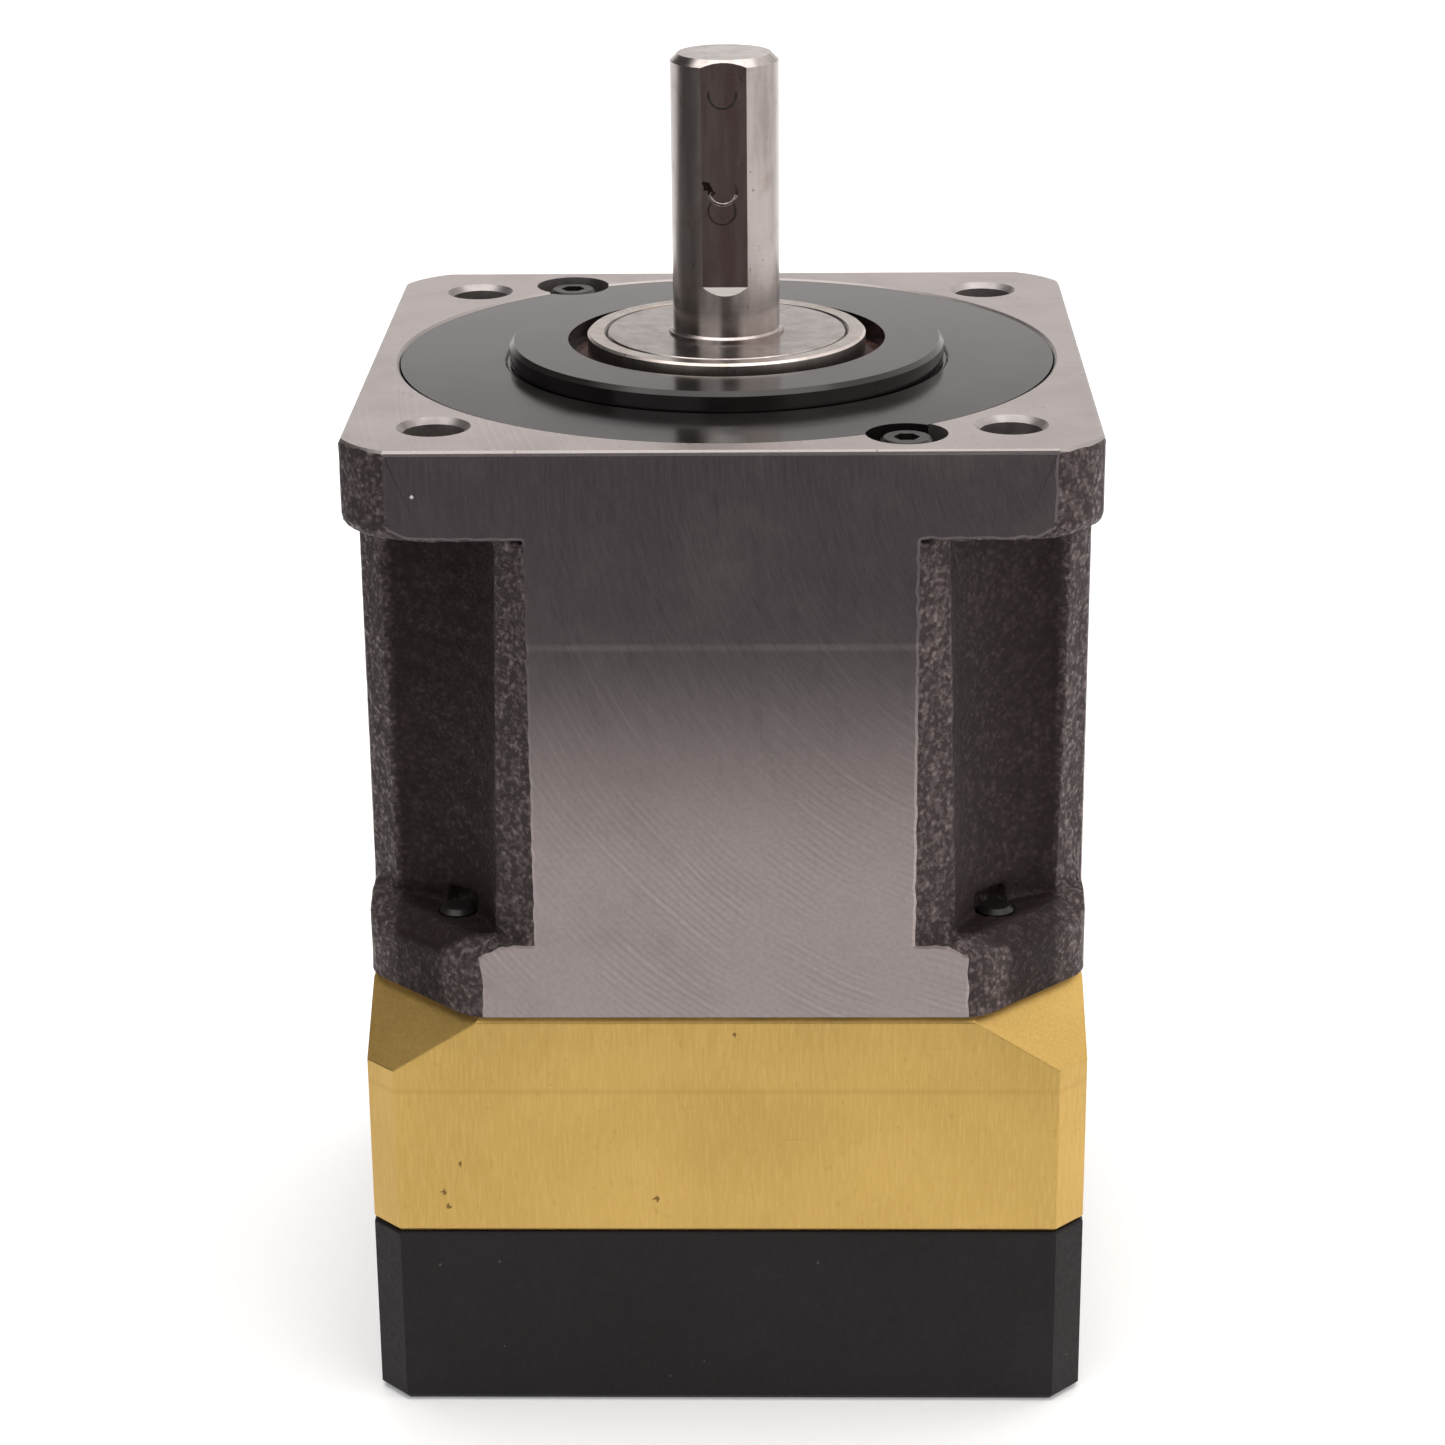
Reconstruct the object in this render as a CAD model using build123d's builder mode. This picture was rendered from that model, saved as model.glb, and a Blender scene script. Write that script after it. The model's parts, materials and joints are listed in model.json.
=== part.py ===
from build123d import *
from math import acos, cos, pi, radians, sin, sqrt, tan
import os

os.makedirs("parts", exist_ok=True)

# Inline planetary gear reducer, standing on its motor face with the output shaft up.
# Millimetres. The origin is the middle of the motor face; +Z is the axis of the gearing.

# --- heights along the axis -------------------------------------------------
ADAPTER_TOP = 21.5
RING_HOUSING_TOP = 48.0
FLANGE_TOP = 112.0
FLANGE_THICKNESS = 10.0
SHAFT_END = 146.0

# --- square section of the three housings ------------------------------------
FLANGE_HALF = 40.0
BLOCK_HALF = 39.8
BLOCK_CORNER_CUT = 3.2
BLOCK_EDGE = 0.5

# --- output interface ---------------------------------------------------------
SHAFT_R = 6.0
SHAFT_CHAMFER = 0.8
FLAT_HEIGHT = 5.45
FLAT_END = 120.0
FLAT_RAMP = 0.9
PILOT_R = 24.5
PILOT_TOP = 114.0
MOUNT_PCD = 86.0
MOUNT_HOLE_R = 3.3
MOUNT_SINK_R = 3.95
SINK_ANGLE = 90

# --- motor interface ----------------------------------------------------------
MOTOR_PILOT_R = 25.0
MOTOR_PILOT_DEPTH = 4.0
MOTOR_PCD = 70.0
MOTOR_TAP_R = 1.65
MOTOR_TAP_DEPTH = 12.0
MOTOR_BORE_R = 7.0

# --- cast output housing --------------------------------------------------------
CAST_ALLOWANCE = 1.0
FLANGE_CORNER_R = 10.6
FLANGE_CAST_EDGE = 2.0
TOP_EDGE = 0.35
BASE_TOP = 56.5
BASE_CORNER_CUT = 12.1
BASE_CORNER_ROUND = 5.0
WEB_HALF = 20.7
RIDGE_TOP = (23.8, 37.7)
RIDGE_BASE = (25.1, 36.8)
NICHE_R = 14.6
RIM_BEVEL_INNER = 64.1
RIM_BEVEL_OUTER = 67.9
RIM_BEVEL_DROP = 2.0
RIM_OVERRUN = 2.0

# --- facets on the ring gear housing, as x + y of the cut at two heights -----------
FACET_HIGH = (65.8, 48.0)
FACET_LOW = (76.7, 41.2)
FACET_OVERRUN = 3.0
SEAM_BEVEL = 0.8

# --- bearing cover ---------------------------------------------------------------
COVER_R = 36.8
COVER_GAP = 0.12
COVER_BOTTOM = 105.5
COVER_SINK = 0.15
COVER_BORE_R = 17.9
SCREW_RING_R = 38.7
SCREW_ANGLES = (-60.0, 120.0)
POCKET_R = 4.35
POCKET_FLOOR = 108.6
COVER_SCREW_R = 1.5
COVER_SCREW_HEAD_R = 2.75
COVER_SCREW_HEAD = 3.0
COVER_SCREW_LENGTH = 8.0
COVER_SCREW_KEY = 2.5

# --- long housing bolts ------------------------------------------------------------
BOLT_OFFSET = 29.8
BOLT_R = 2.0
BOLT_HEAD_R = 3.5
BOLT_HEAD_HEIGHT = 4.0
BOLT_KEY = 3.0
BOLT_SINK_R = 3.8
BOLT_SINK_DEPTH = 4.6
BOLT_TIP = 57.0
BOLT_HOLE_R = 2.2
TAP_ROOM_R = 2.7
TAP_ROOM = 2.0

# --- gearing --------------------------------------------------------------------------
MODULE = 0.8
SUN_TEETH = 18
PLANET_TEETH = 27
RING_TEETH = SUN_TEETH + 2 * PLANET_TEETH
PLANET_COUNT = 3
PRESSURE_ANGLE = 20.0
TOOTH_THINNING = 0.12
DEDENDUM = 1.25
RING_ADDENDUM = 0.8
CENTRE_DISTANCE = MODULE * (SUN_TEETH + PLANET_TEETH) / 2
GEAR_BOTTOM = 36.0
GEAR_TOP = 47.0
RING_GEAR_BOTTOM = 31.5
RING_GEAR_R = 33.0

# --- planet carrier, one piece with the output shaft ------------------------------------
CARRIER_R = 26.5
CARRIER_BOTTOM = 32.0
CARRIER_FLOOR = 35.5
CARRIER_ROOF = 47.5
CARRIER_TOP = 53.5
CARRIER_POST_R = 3.0
CARRIER_POST_RING = 21.0
CARRIER_EYE_R = 12.5
PIN_R = 4.0
NEEDLE_R = 0.93
NEEDLE_COUNT = 14
NEEDLE_END_GAP = 0.5
WASHER_R = 7.5
PLANET_BORE_R = 6.0

# --- output hub and its bearings -----------------------------------------------------------
HUB_R = 15.0
HUB_SHOULDER_R = 19.0
SPACER_R = 18.0
REAR_BEARING_Z = 55.0
REAR_BEARING_R = 31.0
REAR_BEARING_WIDTH = 16.0
REAR_BALLS = 9
FRONT_BEARING_Z = 92.0
FRONT_BEARING_R = 27.5
FRONT_BEARING_WIDTH = 13.0
FRONT_BALLS = 11
MIDDLE_BORE_R = 24.0
HUB_FACE = 114.8
HUB_NOSE_R = 13.6
COLLAR_R = 15.7
COLLAR_EDGE = 0.25
SEAL_R = 21.0
SEAL_BOTTOM = 106.2
SEAL_TOP = 111.6

# --- input side ---------------------------------------------------------------------------
SLEEVE_R = 10.0
SEAL_JOURNAL_R = 11.0
INPUT_BEARING_Z = 24.5
INPUT_BEARING_R = 16.0
INPUT_BEARING_WIDTH = 5.0
INPUT_BALLS = 11
INPUT_BEARING_TOP = INPUT_BEARING_Z + INPUT_BEARING_WIDTH
INPUT_SEAL_R = 15.2
INPUT_SEAL_TOP = INPUT_BEARING_Z - 0.5
CLAMP_BOTTOM = 6.0
CLAMP_TOP = 18.0
CLAMP_R = 16.5
CAVITY_R = 18.0
RUNNING_GAP = 0.05

# --- proportions of the ball bearings ---------------------------------------------------------
BALL_PART = 0.3
BEARING_EDGE = 0.5
CAGE_PART = 0.3
CAGE_HEIGHT_PART = 1.2


def save(piece, node):
    """Label a finished sub-part and write it to its own STEP file."""
    piece.part.label = node
    export_step(piece.part, f"parts/{node}.step")


def corner_cutter(high, low, overrun):
    """Wedge that cuts one corner of a square block along a slanted plane.

    high and low are (x + y, z) of the cut surface; the wedge lies outside it.
    """
    slope = (low[1] - high[1]) / (low[0] - high[0])
    reach = (low[0] + overrun) / sqrt(2)
    foot = low[1] + slope * overrun
    lead = (high[0] - overrun) / sqrt(2)
    roof = high[1] - slope * overrun
    diagonal = Plane(origin=(0, 0, 0), x_dir=(1, 1, 0), z_dir=(1, -1, 0))
    with BuildPart() as wedge:
        with BuildSketch(diagonal):
            with BuildLine():
                Polyline((lead, roof), (reach, foot), (reach, roof), close=True)
            make_face()
        extrude(amount=FLANGE_HALF, both=True)
    return wedge.part


def gear_outline(teeth, tip_r, root_r, thinning, turn):
    """Points of a closed gear outline with involute flanks, one tooth centred on turn (degrees)."""
    pitch_r = MODULE * teeth / 2
    base_r = pitch_r * cos(radians(PRESSURE_ANGLE))
    half_tooth = pi / (2 * teeth) - thinning / (2 * pitch_r)
    flank_start = max(root_r, base_r)
    flank = [flank_start, (flank_start + pitch_r) / 2, pitch_r, (pitch_r + tip_r) / 2, tip_r]

    def involute(r):
        angle = acos(base_r / r)
        return tan(angle) - angle

    half_angles = [half_tooth + involute(pitch_r) - involute(r) for r in flank]
    points = []
    for index in range(teeth):
        middle = radians(turn) + 2 * pi * index / teeth
        rising = [(root_r, -half_angles[0])] + [(r, -a) for r, a in zip(flank, half_angles)]
        falling = [(r, -a) for r, a in reversed(rising)]
        points += [(r * cos(middle + a), r * sin(middle + a)) for r, a in rising + falling]
    return points if root_r < flank_start else [p for i, p in enumerate(points) if i % 12 not in (0, 11)]


def ball_bearing(name, bottom, width, bore_r, outer_r, ball_count):
    """Deep groove ball bearing: inner ring, outer ring, balls and cage, four nodes."""
    middle = bottom + width / 2
    pitch_r = (bore_r + outer_r) / 2
    ball_r = BALL_PART * (outer_r - bore_r)
    land = ball_r / 2
    groove_r = ball_r + RUNNING_GAP
    for ring_name, near_r, far_r in (
        ("inner_ring", bore_r, pitch_r - land),
        ("outer_ring", pitch_r + land, outer_r),
    ):
        with BuildPart() as ring:
            with BuildSketch(Plane.XZ):
                with Locations(((near_r + far_r) / 2, middle)):
                    Rectangle(far_r - near_r, width)
                with Locations((pitch_r, middle)):
                    Circle(groove_r, mode=Mode.SUBTRACT)
            revolve(axis=Axis.Z)
            rims = ring.edges().filter_by(GeomType.CIRCLE).group_by(Axis.Z)
            seat_r = bore_r if ring_name == "inner_ring" else outer_r
            seat_rims = [e for e in rims[0] + rims[-1] if abs(e.radius - seat_r) < RUNNING_GAP]
            chamfer(seat_rims, BEARING_EDGE)
        save(ring, f"{name}_{ring_name}")
    with BuildPart() as balls:
        with Locations(Plane.XY.offset(middle)):
            with PolarLocations(pitch_r, ball_count):
                Sphere(ball_r)
    save(balls, f"{name}_balls")
    with BuildPart() as cage:
        with BuildSketch(Plane.XY.offset(middle)):
            Circle(pitch_r + CAGE_PART * ball_r)
            Circle(pitch_r - CAGE_PART * ball_r, mode=Mode.SUBTRACT)
        extrude(amount=CAGE_HEIGHT_PART * ball_r, both=True)
        with Locations(Plane.XY.offset(middle)):
            with PolarLocations(pitch_r, ball_count):
                Cylinder(ball_r + 2 * RUNNING_GAP, 2 * ball_r, rotation=(0, 90, 0), mode=Mode.SUBTRACT)
    save(cage, f"{name}_cage")


def o_ring(name, height, ring_r, cord_r):
    """Round sealing cord lying in its groove."""
    with BuildPart() as ring:
        with Locations(Plane.XY.offset(height)):
            Torus(ring_r, cord_r)
    save(ring, name)


# --- output housing: flange, waisted column with four corner niches, base ------------------
COLUMN_TOP = FLANGE_TOP - FLANGE_THICKNESS
COVER_SEAT_R = COVER_R + COVER_GAP
ORING_CORD_R = 0.75
DOWEL_R = 1.5
DOWEL_RING = 37.0
DOWEL_DEPTH = 4.0
DOWEL_LENGTH = 7.5


def niche_outline(ridge):
    """One corner niche in plan: a sloped cast strip each side of a hollow arc."""
    ridge_x, ridge_y = ridge
    rise = FLANGE_HALF - ridge_y
    run = ridge_x - WEB_HALF
    outside = (WEB_HALF - run, FLANGE_HALF + rise)
    far = FLANGE_HALF + 2 * rise
    with BuildLine() as outline:
        Polyline((ridge_y, ridge_x), (outside[1], outside[0]), (far, far), outside, ridge)
        RadiusArc(ridge, (ridge_y, ridge_x), -NICHE_R)
    return outline.line


with BuildPart() as output_housing:
    # flange, cast a little oversize with rounded corners, then machined square
    with BuildSketch(Plane.XY.offset(COLUMN_TOP)):
        cast_width = 2 * (FLANGE_HALF + CAST_ALLOWANCE)
        RectangleRounded(cast_width, cast_width, FLANGE_CORNER_R)
    extrude(amount=FLANGE_THICKNESS)
    fillet(output_housing.faces().sort_by(Axis.Z)[0].edges(), FLANGE_CAST_EDGE)
    with BuildSketch(Plane.XY.offset(COLUMN_TOP)):
        Rectangle(2 * FLANGE_HALF, 2 * FLANGE_HALF)
    extrude(amount=FLANGE_THICKNESS, mode=Mode.INTERSECT)
    chamfer(output_housing.faces().sort_by(Axis.Z)[-1].edges(), TOP_EDGE)
    # column between base and flange
    with BuildSketch(Plane.XY.offset(BASE_TOP)):
        Rectangle(2 * FLANGE_HALF, 2 * FLANGE_HALF)
    extrude(amount=COLUMN_TOP - BASE_TOP)
    with BuildPart(mode=Mode.PRIVATE) as niche:
        for height, ridge in ((BASE_TOP, RIDGE_BASE), (COLUMN_TOP, RIDGE_TOP)):
            with BuildSketch(Plane.XY.offset(height)):
                add(niche_outline(ridge))
                make_face()
        loft()
    for quarter in range(4):
        add(niche.part.rotate(Axis.Z, 90 * quarter), mode=Mode.SUBTRACT)
    # webs between the niches run up into the flange without a step
    with BuildSketch(Plane.XY.offset(COLUMN_TOP)):
        Rectangle(2 * WEB_HALF, 2 * FLANGE_HALF)
        Rectangle(2 * FLANGE_HALF, 2 * WEB_HALF)
    extrude(amount=FLANGE_CAST_EDGE)
    # base with its corners cut off and a rough bevel along each cut
    with BuildSketch(Plane.XY.offset(RING_HOUSING_TOP)) as base_plan:
        Rectangle(2 * FLANGE_HALF, 2 * FLANGE_HALF)
        chamfer(base_plan.vertices(), BASE_CORNER_CUT)
        fillet(base_plan.vertices(), BASE_CORNER_ROUND)
    extrude(amount=BASE_TOP - RING_HOUSING_TOP)
    rim_low = BASE_TOP - RIM_BEVEL_DROP
    rim_wedge = corner_cutter((RIM_BEVEL_INNER, BASE_TOP), (RIM_BEVEL_OUTER, rim_low), RIM_OVERRUN)
    for quarter in range(4):
        add(rim_wedge.rotate(Axis.Z, 90 * quarter), mode=Mode.SUBTRACT)
    # bores for the bearings and the cover
    with BuildSketch(Plane.XZ):
        with BuildLine():
            Polyline(
                (0, RING_HOUSING_TOP),
                (REAR_BEARING_R, RING_HOUSING_TOP),
                (REAR_BEARING_R, REAR_BEARING_Z + REAR_BEARING_WIDTH),
                (MIDDLE_BORE_R, REAR_BEARING_Z + REAR_BEARING_WIDTH),
                (MIDDLE_BORE_R, FRONT_BEARING_Z),
                (FRONT_BEARING_R, FRONT_BEARING_Z),
                (FRONT_BEARING_R, COVER_BOTTOM),
                (COVER_SEAT_R, COVER_BOTTOM),
                (COVER_SEAT_R, FLANGE_TOP - TOP_EDGE),
                (COVER_SEAT_R + TOP_EDGE, FLANGE_TOP),
                (0, FLANGE_TOP),
                close=True,
            )
        make_face()
    revolve(axis=Axis.Z, mode=Mode.SUBTRACT)
    # mounting holes in the flange, countersunk from the top
    with Locations(Plane.XY.offset(FLANGE_TOP)):
        with PolarLocations(MOUNT_PCD / 2, 4, start_angle=45):
            CounterSinkHole(MOUNT_HOLE_R, MOUNT_SINK_R, FLANGE_THICKNESS, SINK_ANGLE)
    # pockets and tapped holes for the cover screws
    pocket_depth = FLANGE_TOP - POCKET_FLOOR
    for angle in SCREW_ANGLES:
        with Locations(Plane.XY.offset(FLANGE_TOP)):
            with PolarLocations(SCREW_RING_R, 1, start_angle=angle):
                tap_depth = pocket_depth + COVER_SCREW_LENGTH
                CounterBoreHole(COVER_SCREW_R, POCKET_R, pocket_depth, tap_depth)
    # tapped holes for the long bolts, through the base, and the tap's room beside the niche wall
    with BuildSketch(Plane.XY.offset(RING_HOUSING_TOP)):
        with GridLocations(2 * BOLT_OFFSET, 2 * BOLT_OFFSET, 2, 2):
            Circle(BOLT_R)
    extrude(amount=BASE_TOP - RING_HOUSING_TOP, mode=Mode.SUBTRACT)
    with BuildSketch(Plane.XY.offset(BASE_TOP)):
        with GridLocations(2 * BOLT_OFFSET, 2 * BOLT_OFFSET, 2, 2):
            Circle(TAP_ROOM_R)
    extrude(amount=TAP_ROOM, mode=Mode.SUBTRACT)
    # dowel holes in the joint face
    with BuildSketch(Plane.XY.offset(RING_HOUSING_TOP)):
        with PolarLocations(DOWEL_RING, 2):
            Circle(DOWEL_R)
    extrude(amount=DOWEL_DEPTH, mode=Mode.SUBTRACT)
save(output_housing, "output_housing")


# --- bearing cover with the pilot boss --------------------------------------------------------
COVER_TOP = FLANGE_TOP - COVER_SINK
PILOT_CHAMFER = 0.5
UNDERCUT = 0.3
COVER_GROOVE_Z = 107.1
COVER_SPIGOT_R = 26.5
COVER_SPIGOT_BORE = 23.5
PILOT_EDGE_Z = PILOT_TOP - PILOT_CHAMFER

with BuildPart() as bearing_cover:
    with BuildSketch(Plane.XZ):
        with BuildLine():
            Polyline(
                (COVER_BORE_R, SEAL_TOP),
                (COVER_BORE_R, PILOT_TOP),
                (PILOT_R - PILOT_CHAMFER, PILOT_TOP),
                (PILOT_R, PILOT_EDGE_Z),
                (PILOT_R, COVER_TOP),
                (PILOT_R - UNDERCUT, COVER_TOP - UNDERCUT),
                (PILOT_R + UNDERCUT, COVER_TOP - UNDERCUT),
                (PILOT_R + 2 * UNDERCUT, COVER_TOP),
                (COVER_R, COVER_TOP),
                (COVER_R, COVER_BOTTOM),
                (COVER_SPIGOT_R, COVER_BOTTOM),
                (COVER_SPIGOT_R, FRONT_BEARING_Z + FRONT_BEARING_WIDTH),
                (COVER_SPIGOT_BORE, FRONT_BEARING_Z + FRONT_BEARING_WIDTH),
                (COVER_SPIGOT_BORE, SEAL_BOTTOM),
                (SEAL_R, SEAL_BOTTOM),
                (SEAL_R, SEAL_TOP),
                close=True,
            )
        make_face()
    revolve(axis=Axis.Z)
    with Locations(Plane.XY.offset(COVER_GROOVE_Z)):
        Torus(COVER_R - ORING_CORD_R, ORING_CORD_R + COVER_GAP, mode=Mode.SUBTRACT)
    for angle in SCREW_ANGLES:
        with BuildSketch(Plane.XY.offset(POCKET_FLOOR)):
            with PolarLocations(SCREW_RING_R, 1, start_angle=angle):
                Circle(POCKET_R)
        extrude(amount=FLANGE_TOP - POCKET_FLOOR, mode=Mode.SUBTRACT)
save(bearing_cover, "bearing_cover")
o_ring("cover_o_ring", COVER_GROOVE_Z, COVER_R - ORING_CORD_R + COVER_GAP, ORING_CORD_R)


# --- cap screws -----------------------------------------------------------------------------
HEAD_CHAMFER_PART = 0.12
TIP_CHAMFER_PART = 0.25


def cap_screws(name, places, seat, shank_r, head_r, head_height, length, key_width, upward):
    """Socket head cap screws standing on a seat plane; upward screws point their thread up."""
    way = -1 if upward else 1
    with BuildPart() as screws:
        with BuildSketch(Plane.XY.offset(seat)):
            with Locations(*places):
                Circle(head_r)
        extrude(amount=way * head_height)
        head_ends = screws.faces().sort_by(Axis.Z)
        head_ends = head_ends[: len(places)] if upward else head_ends[-len(places):]
        chamfer(head_ends.edges(), HEAD_CHAMFER_PART * head_r)
        with BuildSketch(Plane.XY.offset(seat + way * head_height)):
            with Locations(*places):
                RegularPolygon(key_width / 2, 6, major_radius=False)
        extrude(amount=-way * head_height / 2, mode=Mode.SUBTRACT)
        with BuildSketch(Plane.XY.offset(seat)):
            with Locations(*places):
                Circle(shank_r)
        extrude(amount=-way * length)
        tips = screws.faces().sort_by(Axis.Z)
        tips = tips[-len(places):] if upward else tips[: len(places)]
        chamfer(tips.edges(), TIP_CHAMFER_PART * shank_r)
    save(screws, name)


screw_places = [
    (SCREW_RING_R * cos(radians(angle)), SCREW_RING_R * sin(radians(angle))) for angle in SCREW_ANGLES
]
cap_screws(
    "cover_screws", screw_places, POCKET_FLOOR, COVER_SCREW_R, COVER_SCREW_HEAD_R, COVER_SCREW_HEAD,
    COVER_SCREW_LENGTH, COVER_SCREW_KEY, upward=False,
)
bolt_places = [(x * BOLT_OFFSET, y * BOLT_OFFSET) for x in (-1, 1) for y in (-1, 1)]
bolt_length = BOLT_TIP - BOLT_SINK_DEPTH
cap_screws(
    "housing_bolts", bolt_places, BOLT_SINK_DEPTH, BOLT_R, BOLT_HEAD_R, BOLT_HEAD_HEIGHT,
    bolt_length, BOLT_KEY, upward=True,
)


# --- oil seal and the collar it runs on ------------------------------------------------------
SEAL_LIP = 0.6
SEAL_WALL = 1.2

with BuildPart() as oil_seal:
    with BuildSketch(Plane.XZ):
        with BuildLine():
            Polyline(
                (SEAL_R, SEAL_BOTTOM),
                (SEAL_R, SEAL_TOP),
                (COLLAR_R + 2 * SEAL_LIP, SEAL_TOP),
                (COLLAR_R + RUNNING_GAP, SEAL_TOP - SEAL_LIP),
                (COLLAR_R + 2 * SEAL_LIP, SEAL_TOP - 2 * SEAL_LIP),
                (COLLAR_R + 2 * SEAL_LIP, SEAL_TOP - 3 * SEAL_LIP),
                (SEAL_R - SEAL_WALL, SEAL_TOP - 3 * SEAL_LIP),
                (SEAL_R - SEAL_WALL, SEAL_BOTTOM),
                close=True,
            )
        make_face()
    revolve(axis=Axis.Z)
save(oil_seal, "oil_seal")

with BuildPart() as seal_collar:
    with BuildSketch(Plane.XY.offset(FRONT_BEARING_Z + FRONT_BEARING_WIDTH)):
        Circle(COLLAR_R)
        Circle(HUB_NOSE_R, mode=Mode.SUBTRACT)
    extrude(amount=HUB_FACE - FRONT_BEARING_Z - FRONT_BEARING_WIDTH)
    chamfer(seal_collar.faces().sort_by(Axis.Z)[-1].edges(), COLLAR_EDGE)
save(seal_collar, "seal_collar")


# --- output shaft, hub and planet carrier in one piece -------------------------------------------
FOOT_STEP_R = 6.5
FOOT_STEP = 0.25
HUB_EDGE = 0.3
FULL_FLAT_END = FLAT_END + FLAT_RAMP

with BuildPart() as output_shaft:
    with BuildSketch(Plane.XZ):
        with BuildLine():
            Polyline(
                (0, CARRIER_ROOF),
                (CARRIER_R, CARRIER_ROOF),
                (CARRIER_R, CARRIER_TOP),
                (HUB_SHOULDER_R, CARRIER_TOP),
                (HUB_SHOULDER_R, REAR_BEARING_Z),
                (HUB_R, REAR_BEARING_Z),
                (HUB_R, FRONT_BEARING_Z + FRONT_BEARING_WIDTH),
                (HUB_NOSE_R, FRONT_BEARING_Z + FRONT_BEARING_WIDTH),
                (HUB_NOSE_R, HUB_FACE - HUB_EDGE),
                (HUB_NOSE_R - HUB_EDGE, HUB_FACE),
                (FOOT_STEP_R, HUB_FACE),
                (FOOT_STEP_R, HUB_FACE + FOOT_STEP),
                (SHAFT_R + FOOT_STEP, HUB_FACE + FOOT_STEP),
                (SHAFT_R, HUB_FACE + 2 * FOOT_STEP),
                (SHAFT_R, FULL_FLAT_END),
                (0, FULL_FLAT_END),
                close=True,
            )
        make_face()
    revolve(axis=Axis.Z)
    # lower disc of the carrier and the posts between the planets
    with BuildSketch(Plane.XY.offset(CARRIER_BOTTOM)):
        Circle(CARRIER_R)
        Circle(CARRIER_EYE_R, mode=Mode.SUBTRACT)
    extrude(amount=CARRIER_FLOOR - CARRIER_BOTTOM)
    with BuildSketch(Plane.XY.offset(CARRIER_FLOOR)):
        with PolarLocations(CARRIER_POST_RING, PLANET_COUNT, start_angle=180 / PLANET_COUNT):
            Circle(CARRIER_POST_R)
    extrude(amount=CARRIER_ROOF - CARRIER_FLOOR)
    with BuildSketch(Plane.XY.offset(CARRIER_BOTTOM)):
        with PolarLocations(CENTRE_DISTANCE, PLANET_COUNT):
            Circle(PIN_R)
    extrude(amount=CARRIER_TOP - CARRIER_BOTTOM, mode=Mode.SUBTRACT)
    # sloping foot of the milled flat
    with BuildSketch(Plane.YZ):
        with BuildLine():
            Polyline(
                (-FLAT_HEIGHT, FULL_FLAT_END),
                (-SHAFT_R, FLAT_END),
                (-SHAFT_R, FULL_FLAT_END),
                close=True,
            )
        make_face()
    extrude(amount=SHAFT_R, both=True, mode=Mode.SUBTRACT)
    # flatted length of the shaft, its wall kept apart from the plain round length below
    with BuildPart(mode=Mode.PRIVATE) as flatted_length:
        with BuildSketch(Plane.XZ):
            with BuildLine():
                Polyline(
                    (0, FULL_FLAT_END),
                    (SHAFT_R, FULL_FLAT_END),
                    (SHAFT_R, SHAFT_END - SHAFT_CHAMFER),
                    (SHAFT_R - SHAFT_CHAMFER, SHAFT_END),
                    (0, SHAFT_END),
                    close=True,
                )
            make_face()
        revolve(axis=Axis.Z)
        with BuildSketch(Plane.XZ.offset(FLAT_HEIGHT)):
            with Locations((0, (FULL_FLAT_END + SHAFT_END) / 2)):
                Rectangle(2 * SHAFT_R, SHAFT_END - FULL_FLAT_END)
        extrude(amount=SHAFT_R, mode=Mode.SUBTRACT)
    add(flatted_length.part, clean=False)
save(output_shaft, "output_shaft")

with BuildPart() as bearing_spacer:
    with BuildSketch(Plane.XY.offset(REAR_BEARING_Z + REAR_BEARING_WIDTH)):
        Circle(SPACER_R)
        Circle(HUB_R, mode=Mode.SUBTRACT)
    extrude(amount=FRONT_BEARING_Z - REAR_BEARING_Z - REAR_BEARING_WIDTH)
save(bearing_spacer, "bearing_spacer")

ball_bearing("rear_bearing", REAR_BEARING_Z, REAR_BEARING_WIDTH, HUB_R, REAR_BEARING_R, REAR_BALLS)
ball_bearing("front_bearing", FRONT_BEARING_Z, FRONT_BEARING_WIDTH, HUB_R, FRONT_BEARING_R, FRONT_BALLS)


# --- planets, their pins, needles and thrust washers --------------------------------------------
def gear_radii(teeth):
    """Tip and root radius of an outside gear."""
    pitch_r = MODULE * teeth / 2
    return pitch_r + MODULE, pitch_r - DEDENDUM * MODULE


planet_tip_r, planet_root_r = gear_radii(PLANET_TEETH)
for number in range(PLANET_COUNT):
    place_angle = 360 * number / PLANET_COUNT
    place = Vector(CENTRE_DISTANCE, 0).rotate(Axis.Z, place_angle)
    planet_plane = Plane(origin=(place.X, place.Y, GEAR_BOTTOM))
    planet_turn = place_angle + 180 - 180 / PLANET_TEETH
    with BuildPart() as planet_gear:
        with BuildSketch(planet_plane):
            with BuildLine():
                Polyline(
                    *gear_outline(PLANET_TEETH, planet_tip_r, planet_root_r, TOOTH_THINNING, planet_turn),
                    close=True,
                )
            make_face()
            Circle(PLANET_BORE_R, mode=Mode.SUBTRACT)
        extrude(amount=GEAR_TOP - GEAR_BOTTOM)
    save(planet_gear, f"planet_gear_{number + 1}")
    with BuildPart() as planet_needles:
        with BuildSketch(planet_plane.offset(NEEDLE_END_GAP)):
            with PolarLocations((PIN_R + PLANET_BORE_R) / 2, NEEDLE_COUNT):
                Circle(NEEDLE_R)
        extrude(amount=GEAR_TOP - GEAR_BOTTOM - 2 * NEEDLE_END_GAP)
    save(planet_needles, f"planet_needles_{number + 1}")

with BuildPart() as planet_pins:
    with BuildSketch(Plane.XY.offset(CARRIER_BOTTOM)):
        with PolarLocations(CENTRE_DISTANCE, PLANET_COUNT):
            Circle(PIN_R)
    extrude(amount=CARRIER_TOP - CARRIER_BOTTOM)
save(planet_pins, "planet_pins")

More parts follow.
